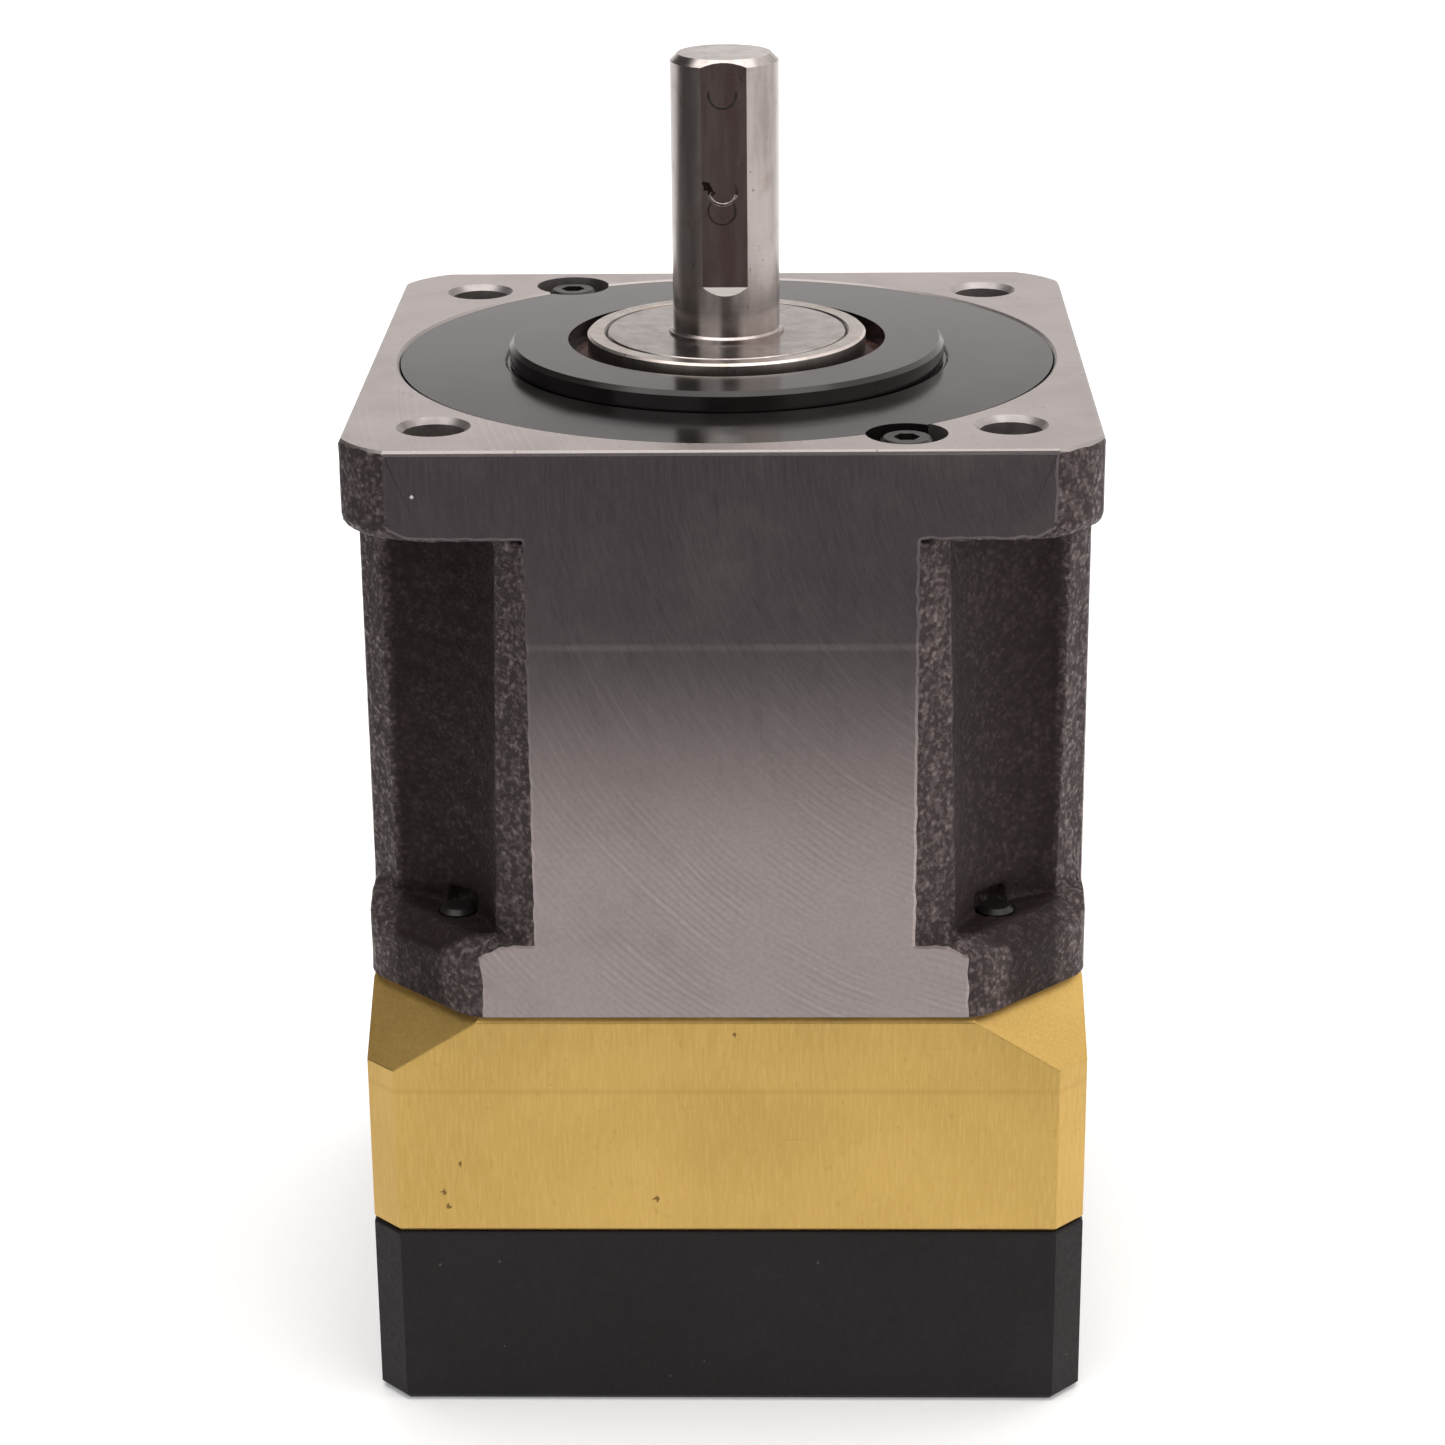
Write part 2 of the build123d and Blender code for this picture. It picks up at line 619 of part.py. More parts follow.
with BuildPart() as thrust_washers:
    for bottom, top in ((CARRIER_FLOOR, GEAR_BOTTOM), (GEAR_TOP, CARRIER_ROOF)):
        with BuildSketch(Plane.XY.offset(bottom)):
            with PolarLocations(CENTRE_DISTANCE, PLANET_COUNT):
                Circle(WASHER_R)
                Circle(PIN_R, mode=Mode.SUBTRACT)
        extrude(amount=top - bottom)
save(thrust_washers, "thrust_washers")


# --- ring gear and its housing block ----------------------------------------------------------------
RING_PITCH_R = MODULE * RING_TEETH / 2
SPACE_TIP_R = RING_PITCH_R + DEDENDUM * MODULE
SPACE_ROOT_R = RING_PITCH_R - RING_ADDENDUM * MODULE
CLIP_THICKNESS = 1.0
CLIP_DEPTH = 0.9
CLIP_HOLD = 0.5
SLEEVE_CLIP_HOLD = 1.4
CLIP_GAP_ANGLE = 40
SHOULDER_R = 14.2
ORING_RING_R = 34.2

with BuildPart() as ring_gear:
    with BuildSketch(Plane.XY.offset(RING_GEAR_BOTTOM)):
        Circle(RING_GEAR_R)
        with BuildLine():
            Polyline(
                *gear_outline(RING_TEETH, SPACE_TIP_R, SPACE_ROOT_R, -TOOTH_THINNING, 0),
                close=True,
            )
        make_face(mode=Mode.SUBTRACT)
    extrude(amount=RING_HOUSING_TOP - RING_GEAR_BOTTOM)
save(ring_gear, "ring_gear")


def square_block(bottom, top):
    """Square section shared by the two lower blocks, with its vertical corners cut."""
    with BuildPart() as block:
        with BuildSketch(Plane.XY.offset(bottom)) as plan:
            Rectangle(2 * BLOCK_HALF, 2 * BLOCK_HALF)
            chamfer(plan.vertices(), BLOCK_CORNER_CUT)
        extrude(amount=top - bottom)
    return block.part


with BuildPart() as ring_housing:
    add(square_block(ADAPTER_TOP, RING_HOUSING_TOP))
    chamfer(ring_housing.faces().sort_by(Axis.Z)[0].edges(), BLOCK_EDGE)
    facet_wedge = corner_cutter(FACET_HIGH, FACET_LOW, FACET_OVERRUN)
    for quarter in range(4):
        add(facet_wedge.rotate(Axis.Z, 90 * quarter), mode=Mode.SUBTRACT)
    top_edges = ring_housing.faces().sort_by(Axis.Z)[-1].edges()
    chamfer(top_edges.filter_by(Axis.X) + top_edges.filter_by(Axis.Y), SEAM_BEVEL)
    # stepped bore: seal, bearing, clip groove, then the ring gear
    with BuildSketch(Plane.XZ):
        with BuildLine():
            Polyline(
                (0, ADAPTER_TOP),
                (INPUT_SEAL_R, ADAPTER_TOP),
                (INPUT_SEAL_R, INPUT_SEAL_TOP),
                (SHOULDER_R, INPUT_SEAL_TOP),
                (SHOULDER_R, INPUT_BEARING_Z),
                (INPUT_BEARING_R, INPUT_BEARING_Z),
                (INPUT_BEARING_R, RING_GEAR_BOTTOM),
                (RING_GEAR_R, RING_GEAR_BOTTOM),
                (RING_GEAR_R, RING_HOUSING_TOP),
                (0, RING_HOUSING_TOP),
                close=True,
            )
        make_face()
    revolve(axis=Axis.Z, mode=Mode.SUBTRACT)
    with BuildSketch(Plane.XY.offset(INPUT_BEARING_TOP)):
        Circle(INPUT_BEARING_R + CLIP_DEPTH)
    extrude(amount=CLIP_THICKNESS, mode=Mode.SUBTRACT)
    with BuildSketch(Plane.XY.offset(RING_HOUSING_TOP)):
        Circle(ORING_RING_R + ORING_CORD_R)
        Circle(ORING_RING_R - ORING_CORD_R, mode=Mode.SUBTRACT)
    extrude(amount=-2 * ORING_CORD_R, mode=Mode.SUBTRACT)
    with Locations(Plane.XY.offset(RING_HOUSING_TOP)):
        with GridLocations(2 * BOLT_OFFSET, 2 * BOLT_OFFSET, 2, 2):
            Hole(BOLT_HOLE_R, depth=RING_HOUSING_TOP - ADAPTER_TOP)
        with PolarLocations(DOWEL_RING, 2):
            Hole(DOWEL_R, depth=DOWEL_DEPTH)
save(ring_housing, "ring_housing")
o_ring("upper_o_ring", RING_HOUSING_TOP - ORING_CORD_R, ORING_RING_R, ORING_CORD_R)

with BuildPart() as dowel_pins:
    with BuildSketch(Plane.XY.offset(RING_HOUSING_TOP - DOWEL_DEPTH)):
        with PolarLocations(DOWEL_RING, 2):
            Circle(DOWEL_R)
    extrude(amount=DOWEL_LENGTH)
save(dowel_pins, "dowel_pins")


# --- input sleeve with the sun gear, its bearing, seal and clips ----------------------------------------
SUN_NECK_R = 9.0
SUN_BOTTOM = 35.0
SLEEVE_BOTTOM = 5.0
SLEEVE_THIN_R = 9.8
MOTOR_BORE_END = 28.0
SLIT_WIDTH = 1.6
SLIT_TOP = 18.5
JOURNAL_BOTTOM = 19.5
sun_tip_r, sun_root_r = gear_radii(SUN_TEETH)

with BuildPart() as input_sleeve:
    with BuildSketch(Plane.XZ):
        with BuildLine():
            Polyline(
                (MOTOR_BORE_R, SLEEVE_BOTTOM),
                (SLEEVE_THIN_R, SLEEVE_BOTTOM),
                (SLEEVE_THIN_R, JOURNAL_BOTTOM),
                (SEAL_JOURNAL_R, JOURNAL_BOTTOM),
                (SEAL_JOURNAL_R, INPUT_BEARING_Z),
                (SLEEVE_R, INPUT_BEARING_Z),
                (SLEEVE_R, INPUT_BEARING_TOP + 2 * CLIP_THICKNESS),
                (SUN_NECK_R, INPUT_BEARING_TOP + 2 * CLIP_THICKNESS),
                (SUN_NECK_R, SUN_BOTTOM),
                (0, SUN_BOTTOM),
                (0, MOTOR_BORE_END),
                (MOTOR_BORE_R, MOTOR_BORE_END),
                close=True,
            )
        make_face()
    revolve(axis=Axis.Z)
    with BuildSketch(Plane.XY.offset(INPUT_BEARING_TOP)):
        Circle(SLEEVE_R)
        Circle(SLEEVE_R - CLIP_DEPTH, mode=Mode.SUBTRACT)
    extrude(amount=CLIP_THICKNESS, mode=Mode.SUBTRACT)
    with BuildSketch(Plane.XY.offset(SLEEVE_BOTTOM)):
        Rectangle(2 * SEAL_JOURNAL_R, SLIT_WIDTH)
    extrude(amount=SLIT_TOP - SLEEVE_BOTTOM, mode=Mode.SUBTRACT)
    with BuildSketch(Plane.XY.offset(SUN_BOTTOM)):
        with BuildLine():
            Polyline(
                *gear_outline(SUN_TEETH, sun_tip_r, sun_root_r, TOOTH_THINNING, 0),
                close=True,
            )
        make_face()
    extrude(amount=GEAR_TOP - SUN_BOTTOM)
save(input_sleeve, "input_sleeve")

ball_bearing("input_bearing", INPUT_BEARING_Z, INPUT_BEARING_WIDTH, SLEEVE_R, INPUT_BEARING_R, INPUT_BALLS)

with BuildPart() as input_seal:
    with BuildSketch(Plane.XY.offset(ADAPTER_TOP)):
        Circle(INPUT_SEAL_R)
        Circle(SEAL_JOURNAL_R + RUNNING_GAP, mode=Mode.SUBTRACT)
    extrude(amount=INPUT_SEAL_TOP - ADAPTER_TOP)
save(input_seal, "input_seal")


def snap_ring(name, bottom, inner_r, outer_r, gap_angle):
    """Flat open ring lying in a groove, its ends a gap apart at the back."""
    with BuildPart() as ring:
        with BuildSketch(Plane.XY.offset(bottom)):
            Circle(outer_r)
            Circle(inner_r, mode=Mode.SUBTRACT)
            with Locations((0, outer_r)):
                Rectangle(2 * outer_r * sin(radians(gap_angle / 2)), outer_r, mode=Mode.SUBTRACT)
        extrude(amount=CLIP_THICKNESS)
    save(ring, name)


snap_ring(
    "input_bearing_clip", INPUT_BEARING_TOP,
    INPUT_BEARING_R - CLIP_HOLD, INPUT_BEARING_R + CLIP_DEPTH, CLIP_GAP_ANGLE,
)
snap_ring(
    "input_sleeve_clip", INPUT_BEARING_TOP,
    SLEEVE_R - CLIP_DEPTH, SLEEVE_R + SLEEVE_CLIP_HOLD, CLIP_GAP_ANGLE,
)


# --- clamp collar that grips the motor shaft through the slit sleeve ---------------------------------
CLAMP_SCREW_X = 12.9
CLAMP_SCREW_R = 1.5
CLAMP_HEAD_R = 2.75
CLAMP_MIDDLE = (CLAMP_BOTTOM + CLAMP_TOP) / 2
CLAMP_SEAT_Y = -3.5
CLAMP_HEAD_HEIGHT = 3.0
CLAMP_HEAD_GAP = 0.25
CLAMP_KEY = 2.5
CLAMP_KEY_DEPTH = 1.5
CLAMP_SCREW_LENGTH = 10.0
CLAMP_EDGE = 0.6

with BuildPart() as clamp_collar:
    with BuildSketch(Plane.XY.offset(CLAMP_BOTTOM)):
        Circle(CLAMP_R)
        Circle(SLEEVE_THIN_R, mode=Mode.SUBTRACT)
        with Locations((CLAMP_R, 0)):
            Rectangle(CLAMP_R, SLIT_WIDTH, mode=Mode.SUBTRACT)
    extrude(amount=CLAMP_TOP - CLAMP_BOTTOM)
    chamfer(clamp_collar.edges().filter_by(GeomType.CIRCLE).sort_by(SortBy.RADIUS)[-2:], CLAMP_EDGE)
    with BuildSketch(Plane.XZ):
        with Locations((CLAMP_SCREW_X, CLAMP_MIDDLE)):
            Circle(CLAMP_SCREW_R)
    extrude(amount=CLAMP_R, both=True, mode=Mode.SUBTRACT)
    with BuildSketch(Plane.XZ.offset(-CLAMP_SEAT_Y)):
        with Locations((CLAMP_SCREW_X, CLAMP_MIDDLE)):
            Circle(CLAMP_HEAD_R + CLAMP_HEAD_GAP)
    extrude(amount=CLAMP_R, mode=Mode.SUBTRACT)
save(clamp_collar, "clamp_collar")

with BuildPart() as clamp_screw:
    with BuildSketch(Plane.XZ.offset(-CLAMP_SEAT_Y)):
        with Locations((CLAMP_SCREW_X, CLAMP_MIDDLE)):
            Circle(CLAMP_HEAD_R)
    extrude(amount=CLAMP_HEAD_HEIGHT)
    with BuildSketch(Plane.XZ.offset(CLAMP_HEAD_HEIGHT - CLAMP_SEAT_Y)):
        with Locations((CLAMP_SCREW_X, CLAMP_MIDDLE)):
            RegularPolygon(CLAMP_KEY / 2, 6, major_radius=False)
    extrude(amount=-CLAMP_KEY_DEPTH, mode=Mode.SUBTRACT)
    with BuildSketch(Plane.XZ.offset(-CLAMP_SEAT_Y)):
        with Locations((CLAMP_SCREW_X, CLAMP_MIDDLE)):
            Circle(CLAMP_SCREW_R)
    extrude(amount=-CLAMP_SCREW_LENGTH)
save(clamp_screw, "clamp_screw")


# --- motor adapter -------------------------------------------------------------------------------------
ACCESS_R = 4.0
PLUG_HEAD_R = 5.0
PLUG_HEAD = 0.8
PLUG_GAP = 0.1
PLUG_LENGTH = 8.0
ADAPTER_EDGE = 0.7
LOWER_ORING_R = 21.5

with BuildPart() as motor_adapter:
    add(square_block(0, ADAPTER_TOP))
    chamfer(motor_adapter.faces().sort_by(Axis.Z)[0].edges(), ADAPTER_EDGE)
    chamfer(motor_adapter.faces().sort_by(Axis.Z)[-1].edges(), BLOCK_EDGE / 2)
    with BuildSketch():
        Circle(MOTOR_PILOT_R)
    extrude(amount=MOTOR_PILOT_DEPTH, mode=Mode.SUBTRACT)
    with BuildSketch():
        Circle(CAVITY_R)
    extrude(amount=ADAPTER_TOP, mode=Mode.SUBTRACT)
    with Locations(-Plane.XY):
        with PolarLocations(MOTOR_PCD / 2, 4, start_angle=45):
            Hole(MOTOR_TAP_R, depth=MOTOR_TAP_DEPTH)
        with GridLocations(2 * BOLT_OFFSET, 2 * BOLT_OFFSET, 2, 2):
            CounterBoreHole(BOLT_HOLE_R, BOLT_SINK_R, BOLT_SINK_DEPTH, depth=ADAPTER_TOP)
    with BuildSketch(Plane.XY.offset(ADAPTER_TOP)):
        Circle(LOWER_ORING_R + ORING_CORD_R)
        Circle(LOWER_ORING_R - ORING_CORD_R, mode=Mode.SUBTRACT)
    extrude(amount=-2 * ORING_CORD_R, mode=Mode.SUBTRACT)
    # access hole to the clamp screw, at the back, with a seat for its plug
    with BuildSketch(Plane.XZ.offset(-BLOCK_HALF)):
        with Locations((CLAMP_SCREW_X, CLAMP_MIDDLE)):
            Circle(PLUG_HEAD_R)
    extrude(amount=PLUG_HEAD, mode=Mode.SUBTRACT)
    with BuildSketch(Plane.XZ.offset(-BLOCK_HALF)):
        with Locations((CLAMP_SCREW_X, CLAMP_MIDDLE)):
            Circle(ACCESS_R)
    extrude(amount=BLOCK_HALF - CLAMP_SCREW_X, mode=Mode.SUBTRACT)
save(motor_adapter, "motor_adapter")
o_ring("lower_o_ring", ADAPTER_TOP - ORING_CORD_R, LOWER_ORING_R, ORING_CORD_R)

with BuildPart() as access_plug:
    with BuildSketch(Plane.XZ.offset(-BLOCK_HALF)):
        with Locations((CLAMP_SCREW_X, CLAMP_MIDDLE)):
            Circle(PLUG_HEAD_R - PLUG_GAP)
    extrude(amount=PLUG_HEAD)
    with BuildSketch(Plane.XZ.offset(PLUG_HEAD - BLOCK_HALF)):
        with Locations((CLAMP_SCREW_X, CLAMP_MIDDLE)):
            Circle(ACCESS_R)
    extrude(amount=PLUG_LENGTH)
save(access_plug, "access_plug")
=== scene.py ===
import json
from math import copysign, cos, hypot, pi, radians, sin

import bmesh
import bpy
from mathutils import Matrix, Vector, noise
from mathutils.bvhtree import BVHTree


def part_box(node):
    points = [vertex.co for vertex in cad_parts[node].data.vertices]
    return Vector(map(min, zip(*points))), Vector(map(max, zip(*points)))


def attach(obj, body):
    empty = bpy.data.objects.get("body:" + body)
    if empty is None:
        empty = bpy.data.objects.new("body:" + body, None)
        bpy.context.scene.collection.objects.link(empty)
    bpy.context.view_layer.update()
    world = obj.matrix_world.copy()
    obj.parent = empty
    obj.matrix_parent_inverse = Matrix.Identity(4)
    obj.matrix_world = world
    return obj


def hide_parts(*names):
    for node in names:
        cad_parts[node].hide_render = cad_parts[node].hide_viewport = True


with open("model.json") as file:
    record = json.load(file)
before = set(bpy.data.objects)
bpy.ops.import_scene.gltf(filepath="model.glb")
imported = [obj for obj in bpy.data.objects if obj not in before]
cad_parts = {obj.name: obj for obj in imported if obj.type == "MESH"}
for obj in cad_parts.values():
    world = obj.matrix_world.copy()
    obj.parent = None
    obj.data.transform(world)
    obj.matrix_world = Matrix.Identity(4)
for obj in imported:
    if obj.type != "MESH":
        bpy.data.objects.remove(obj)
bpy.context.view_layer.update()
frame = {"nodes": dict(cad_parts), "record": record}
nodes = frame["nodes"]
mounts = {mount["name"]: mount for mount in frame["record"]["mounts"]}
MM = 0.001

# --- places and sizes read from the frame -------------------------------------------------
housing_low, housing_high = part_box("output_housing")
HALF = housing_high.x
FLANGE_TOP = housing_high.z
JOINT_Z = housing_low.z
BLOCK_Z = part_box("ring_housing")[0].z
COVER_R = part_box("bearing_cover")[1].x
COLLAR_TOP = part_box("seal_collar")[1].z
SHAFT_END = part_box("output_shaft")[1].z
HOLE_RING_R = mounts["output_flange_bolts"]["dims"]["pcd_mm"] * MM / 2
HOLE_R = mounts["output_flange_bolts"]["dims"]["hole_r_mm"] * MM

# --- marks of use, placed from the piece that carries them --------------------------------
CUTTER_PASS_Z = FLANGE_TOP - 21.4 * MM
CHIP_X, CHIP_Z, CHIP_SIZE = -31.94 * MM, FLANGE_TOP - 4.86 * MM, 0.24 * MM
GOLD_LINE_Z = BLOCK_Z + 17.4 * MM
GOLD_BAND_Z = BLOCK_Z + 24 * MM
# across the front of the gold block, above its lower edge, size
GOLD_PITS_MM = (
    (-29.5, 8.5, 0.35),
    (-31.5, 5.0, 0.45),
    (-31.0, 3.2, 0.5),
    (-7.8, 4.2, 0.55),
    (1.0, 24.3, 0.3),
)
SEAM_R, SEAM_HALF_WIDTH = 13.6 * MM, 0.22 * MM
FLAT_FOOT_Z = SHAFT_END - 25.1 * MM
RUNOUT_BOTTOM, RUNOUT_TOP = SHAFT_END - 26.5 * MM, SHAFT_END - 24.5 * MM
# across the shaft's flat, below the shaft's end, radius
BITES_MM = ((-0.15, 3.7, 1.5), (-0.26, 16.5, 1.5), (-0.2, 14.3, 1.55))
SPILL_X, SPILL_Z, SPILL_R = -1.8 * MM, SHAFT_END - 13.8 * MM, 1.36 * MM


# --- node graphs --------------------------------------------------------------------------
class Graph:
    """A material's node tree, built by calls that return sockets. Scales are per metre."""

    def __init__(self, name, **shader):
        self.material = bpy.data.materials.new(name)
        self.material.use_nodes = True
        self.tree = self.material.node_tree
        self.tree.nodes.clear()
        output = self.tree.nodes.new("ShaderNodeOutputMaterial")
        self.shader = self.tree.nodes.new("ShaderNodeBsdfPrincipled")
        self.tree.links.new(self.shader.outputs[0], output.inputs["Surface"])
        for socket, value in shader.items():
            self.shader.inputs[socket.replace("_", " ")].default_value = value
        self.place = self.add("ShaderNodeTexCoord").outputs["Object"]

    def add(self, kind, inputs=None, **settings):
        """New node; inputs maps socket names or numbers to a value or a socket."""
        node = self.tree.nodes.new(kind)
        for key, value in settings.items():
            setattr(node, key, value)
        for key, value in (inputs or {}).items():
            self.feed(node.inputs[key], value)
        return node

    def feed(self, socket, value):
        if isinstance(value, bpy.types.NodeSocket):
            self.tree.links.new(value, socket)
        else:
            socket.default_value = value

    def math(self, operation, a, b=0.0, c=0.0):
        return self.add("ShaderNodeMath", {0: a, 1: b, 2: c}, operation=operation).outputs[0]

    def plus(self, a, b):
        return self.math("ADD", a, b)

    def minus(self, a, b):
        return self.math("SUBTRACT", a, b)

    def times(self, a, b):
        return self.math("MULTIPLY", a, b)

    def scaled(self, a, factor, offset):
        """a times factor, plus offset."""
        return self.math("MULTIPLY_ADD", a, factor, offset)

    def below(self, a, limit):
        return self.math("LESS_THAN", a, limit)

    def above(self, a, limit):
        return self.math("GREATER_THAN", a, limit)

    def gap(self, a, b):
        return self.math("ABSOLUTE", self.minus(a, b))

    def length(self, a, b):
        return self.math("SQRT", self.plus(self.times(a, a), self.times(b, b)))

    def axes(self, place=None):
        return self.add("ShaderNodeSeparateXYZ", {0: place or self.place}).outputs

    def radius(self):
        """Distance from the shaft's axis."""
        x, y, _ = self.axes()
        return self.length(x, y)

    def face_normal(self):
        """Direction that a face looks in, in its piece's own frame."""
        in_world = self.add("ShaderNodeNewGeometry").outputs["True Normal"]
        own = self.add("ShaderNodeVectorTransform", {0: in_world}, vector_type="NORMAL",
                       convert_from="WORLD", convert_to="OBJECT")
        return self.axes(own.outputs[0])

    def vector(self, x, y, z):
        return self.add("ShaderNodeCombineXYZ", {0: x, 1: y, 2: z}).outputs[0]

    def noise(self, scale, detail=4.0, rough=0.55, place=None, warp=0.0):
        node = self.add("ShaderNodeTexNoise", {"Scale": scale, "Detail": detail, "Roughness": rough})
        self.feed(node.inputs["Vector"], place or self.place)
        node.inputs["Distortion"].default_value = warp
        return node.outputs["Fac"]

    def grain(self, scales, detail, rough, turn=(0, 0, 0)):
        """Noise with a scale of its own along each axis."""
        mapping = self.add("ShaderNodeMapping", {"Scale": scales, "Rotation": turn})
        self.feed(mapping.inputs["Vector"], self.place)
        return self.noise(1.0, detail, rough, place=mapping.outputs[0])

    def lines(self, along, per_metre, detail, rough, across=0.0):
        """Noise that follows one value, as turning and cutter lines do."""
        place = self.vector(self.times(along, per_metre), across, 0.0)
        return self.noise(1.0, detail, rough, place=place)

    def cells(self, scale, feature="F1"):
        node = self.add("ShaderNodeTexVoronoi", {"Scale": scale}, feature=feature)
        self.feed(node.inputs["Vector"], self.place)
        return node.outputs["Distance"]

    def ramp(self, value, low, high, out_low=0.0, out_high=1.0):
        """Smooth step from out_low at low to out_high at high, held flat beyond."""
        node = self.add("ShaderNodeMapRange", {0: value, 1: low, 2: high, 3: out_low, 4: out_high})
        node.interpolation_type = "SMOOTHSTEP"
        return node.outputs[0]

    def mix(self, amount, first, second):
        node = self.add("ShaderNodeMix", data_type="RGBA")
        self.feed(node.inputs["Factor"], amount)
        colours = [socket for socket in node.inputs if socket.type == "RGBA"]
        for socket, value in zip(colours, (first, second)):
            self.feed(socket, value if isinstance(value, bpy.types.NodeSocket) else (*value, 1.0))
        return [socket for socket in node.outputs if socket.type == "RGBA"][0]

    def tint(self, tone, colour, mask, amount):
        """tone, turned toward colour by mask times amount."""
        return self.mix(self.times(mask, amount), tone, colour)

    def bump(self, height, strength, distance, below=None):
        node = self.add("ShaderNodeBump", {"Strength": strength, "Distance": distance, "Height": height})
        if below:
            self.feed(node.inputs["Normal"], below)
        return node.outputs[0]

    def finish(self, colour, rough, normal):
        for name, value in (("Base Color", colour), ("Roughness", rough), ("Normal", normal)):
            self.feed(self.shader.inputs[name], value)
        return self.material


# --- materials ----------------------------------------------------------------------------
def machined_iron():
    """Fly-cut side faces: sweeping arcs, a faint step between two passes, oily smudges, and painted shade
    that darkens them towards the top.
    """
    cutter_x, cutter_z = 2 * MM, FLANGE_TOP
    # bright and dim: painted lit and painted shaded tones of the side faces, low and high
    bright, dim, foot_tone = (0.405, 0.35, 0.34), (0.098, 0.084, 0.091), (0.27, 0.235, 0.23)
    arc_light, arc_dark = (0.55, 0.5, 0.48), (0.2, 0.168, 0.162)
    smudge_tone, mottle_tone, streak_tone = (0.2, 0.175, 0.17), (0.16, 0.13, 0.128), (0.06, 0.05, 0.05)
    step_tone, chip_tone = (0.5, 0.46, 0.45), (0.95, 0.93, 0.9)
    graph = Graph("machined_iron", Metallic=0.85)
    x, y, z = graph.axes()
    sweep = graph.length(graph.minus(graph.plus(x, y), cutter_x), graph.minus(z, cutter_z))
    sweep = graph.scaled(graph.noise(60, 2.0), 1.2 * MM, sweep)
    arcs = graph.lines(sweep, 1500, 3.0, 0.55)
    fine = graph.lines(sweep, 4200, 4.0, 0.7, across=graph.times(z, 260))
    phase = graph.times(graph.noise(110, 2.0), 9.0)
    ripple = graph.ramp(graph.math("SINE", graph.scaled(sweep, 8400, phase)), -0.3, 0.9)
    patch = graph.ramp(graph.noise(75, 3.0), 0.36, 0.6)
    blotch = graph.noise(85, 6.0, 0.62)
    mottle = graph.noise(1900, 4.0, 0.65)
    streaks = graph.grain((700, 700, 130), 5.0, 0.65)
    step = graph.ramp(graph.gap(z, CUTTER_PASS_Z), 0.1 * MM, 0.6 * MM, 1.0, 0.0)
    step = graph.times(step, graph.ramp(graph.noise(110, 3.0), 0.3, 0.7, 0.45, 1.0))
    chip = graph.below(graph.plus(graph.gap(x, CHIP_X), graph.gap(z, CHIP_Z)), CHIP_SIZE)
    chip = graph.times(chip, graph.below(y, 0.0))
    upper = graph.ramp(z, JOINT_Z + 16 * MM, JOINT_Z + 47 * MM)
    foot = graph.ramp(z, JOINT_Z + 2 * MM, JOINT_Z + 16 * MM, 0.3, 0.0)
    swept = graph.times(patch, graph.scaled(upper, -0.92, 1.0))
    # painted shade: bright at the bottom, dim at the top, standing in for the dark surroundings that the
    # faces reflect
    tone = graph.mix(upper, bright, dim)
    tone = graph.mix(foot, tone, foot_tone)
    tone = graph.mix(graph.ramp(blotch, 0.48, 0.75, 0.0, 0.3), tone, smudge_tone)
    tone = graph.tint(tone, arc_light, swept, graph.ramp(arcs, 0.45, 0.65, 0.0, 0.2))
    tone = graph.tint(tone, arc_dark, swept, graph.times(ripple, 0.26))
    tone = graph.mix(graph.ramp(mottle, 0.35, 0.7, 0.0, 0.2), tone, mottle_tone)
    tone = graph.tint(tone, streak_tone, upper, graph.ramp(streaks, 0.5, 0.8, 0.0, 0.35))
    tone = graph.tint(tone, step_tone, step, 0.16)
    tone = graph.mix(chip, tone, chip_tone)
    rough = graph.plus(graph.ramp(fine, 0.3, 0.75, 0.34, 0.5), graph.times(blotch, 0.08))
    relief = graph.plus(graph.times(arcs, 0.5), graph.times(fine, 0.7))
    return graph.finish(tone, rough, graph.bump(relief, 0.45, 0.035 * MM))


def milled_top_iron():
    """Milled top of the flange: sweeping cutter marks, smears and small nicks, with its chamfer painted
    darker as shade.
    """
    cutter_x = 130 * MM
    clean, smeared, mark_tone = (0.5, 0.445, 0.43), (0.42, 0.37, 0.36), (0.6, 0.55, 0.53)
    chamfer_shade_tone, nick_tone, speck_tone = (0.3, 0.27, 0.26), (0.2, 0.16, 0.15), (0.12, 0.09, 0.08)
    graph = Graph("milled_top_iron", Metallic=0.9)
    x, y, _ = graph.axes()
    marks = graph.lines(graph.length(graph.minus(x, cutter_x), y), 3200, 5.0, 0.7)
    blotch = graph.noise(95, 6.0, 0.65)
    nicks = graph.ramp(graph.grain((900, 220, 500), 3.0, 0.6, turn=(0, 0, 0.7)), 0.7, 0.76)
    specks = graph.below(graph.cells(480), 0.07)
    _, _, upward = graph.face_normal()
    tone = graph.mix(graph.ramp(blotch, 0.35, 0.72), clean, smeared)
    tone = graph.mix(graph.ramp(marks, 0.45, 0.75, 0.0, 0.45), tone, mark_tone)
    # painted shade: faces tilted away from straight up, the chamfer at the top's edge, are painted darker
    # than the flat top
    tone = graph.mix(graph.ramp(upward, 0.97, 0.9), tone, chamfer_shade_tone)
    tone = graph.tint(tone, nick_tone, nicks, 0.4)
    tone = graph.tint(tone, speck_tone, specks, 0.6)
    rough = graph.plus(graph.ramp(marks, 0.3, 0.7, 0.28, 0.4), graph.times(blotch, 0.08))
    return graph.finish(tone, rough, graph.bump(graph.minus(marks, nicks), 0.3, 0.03 * MM))


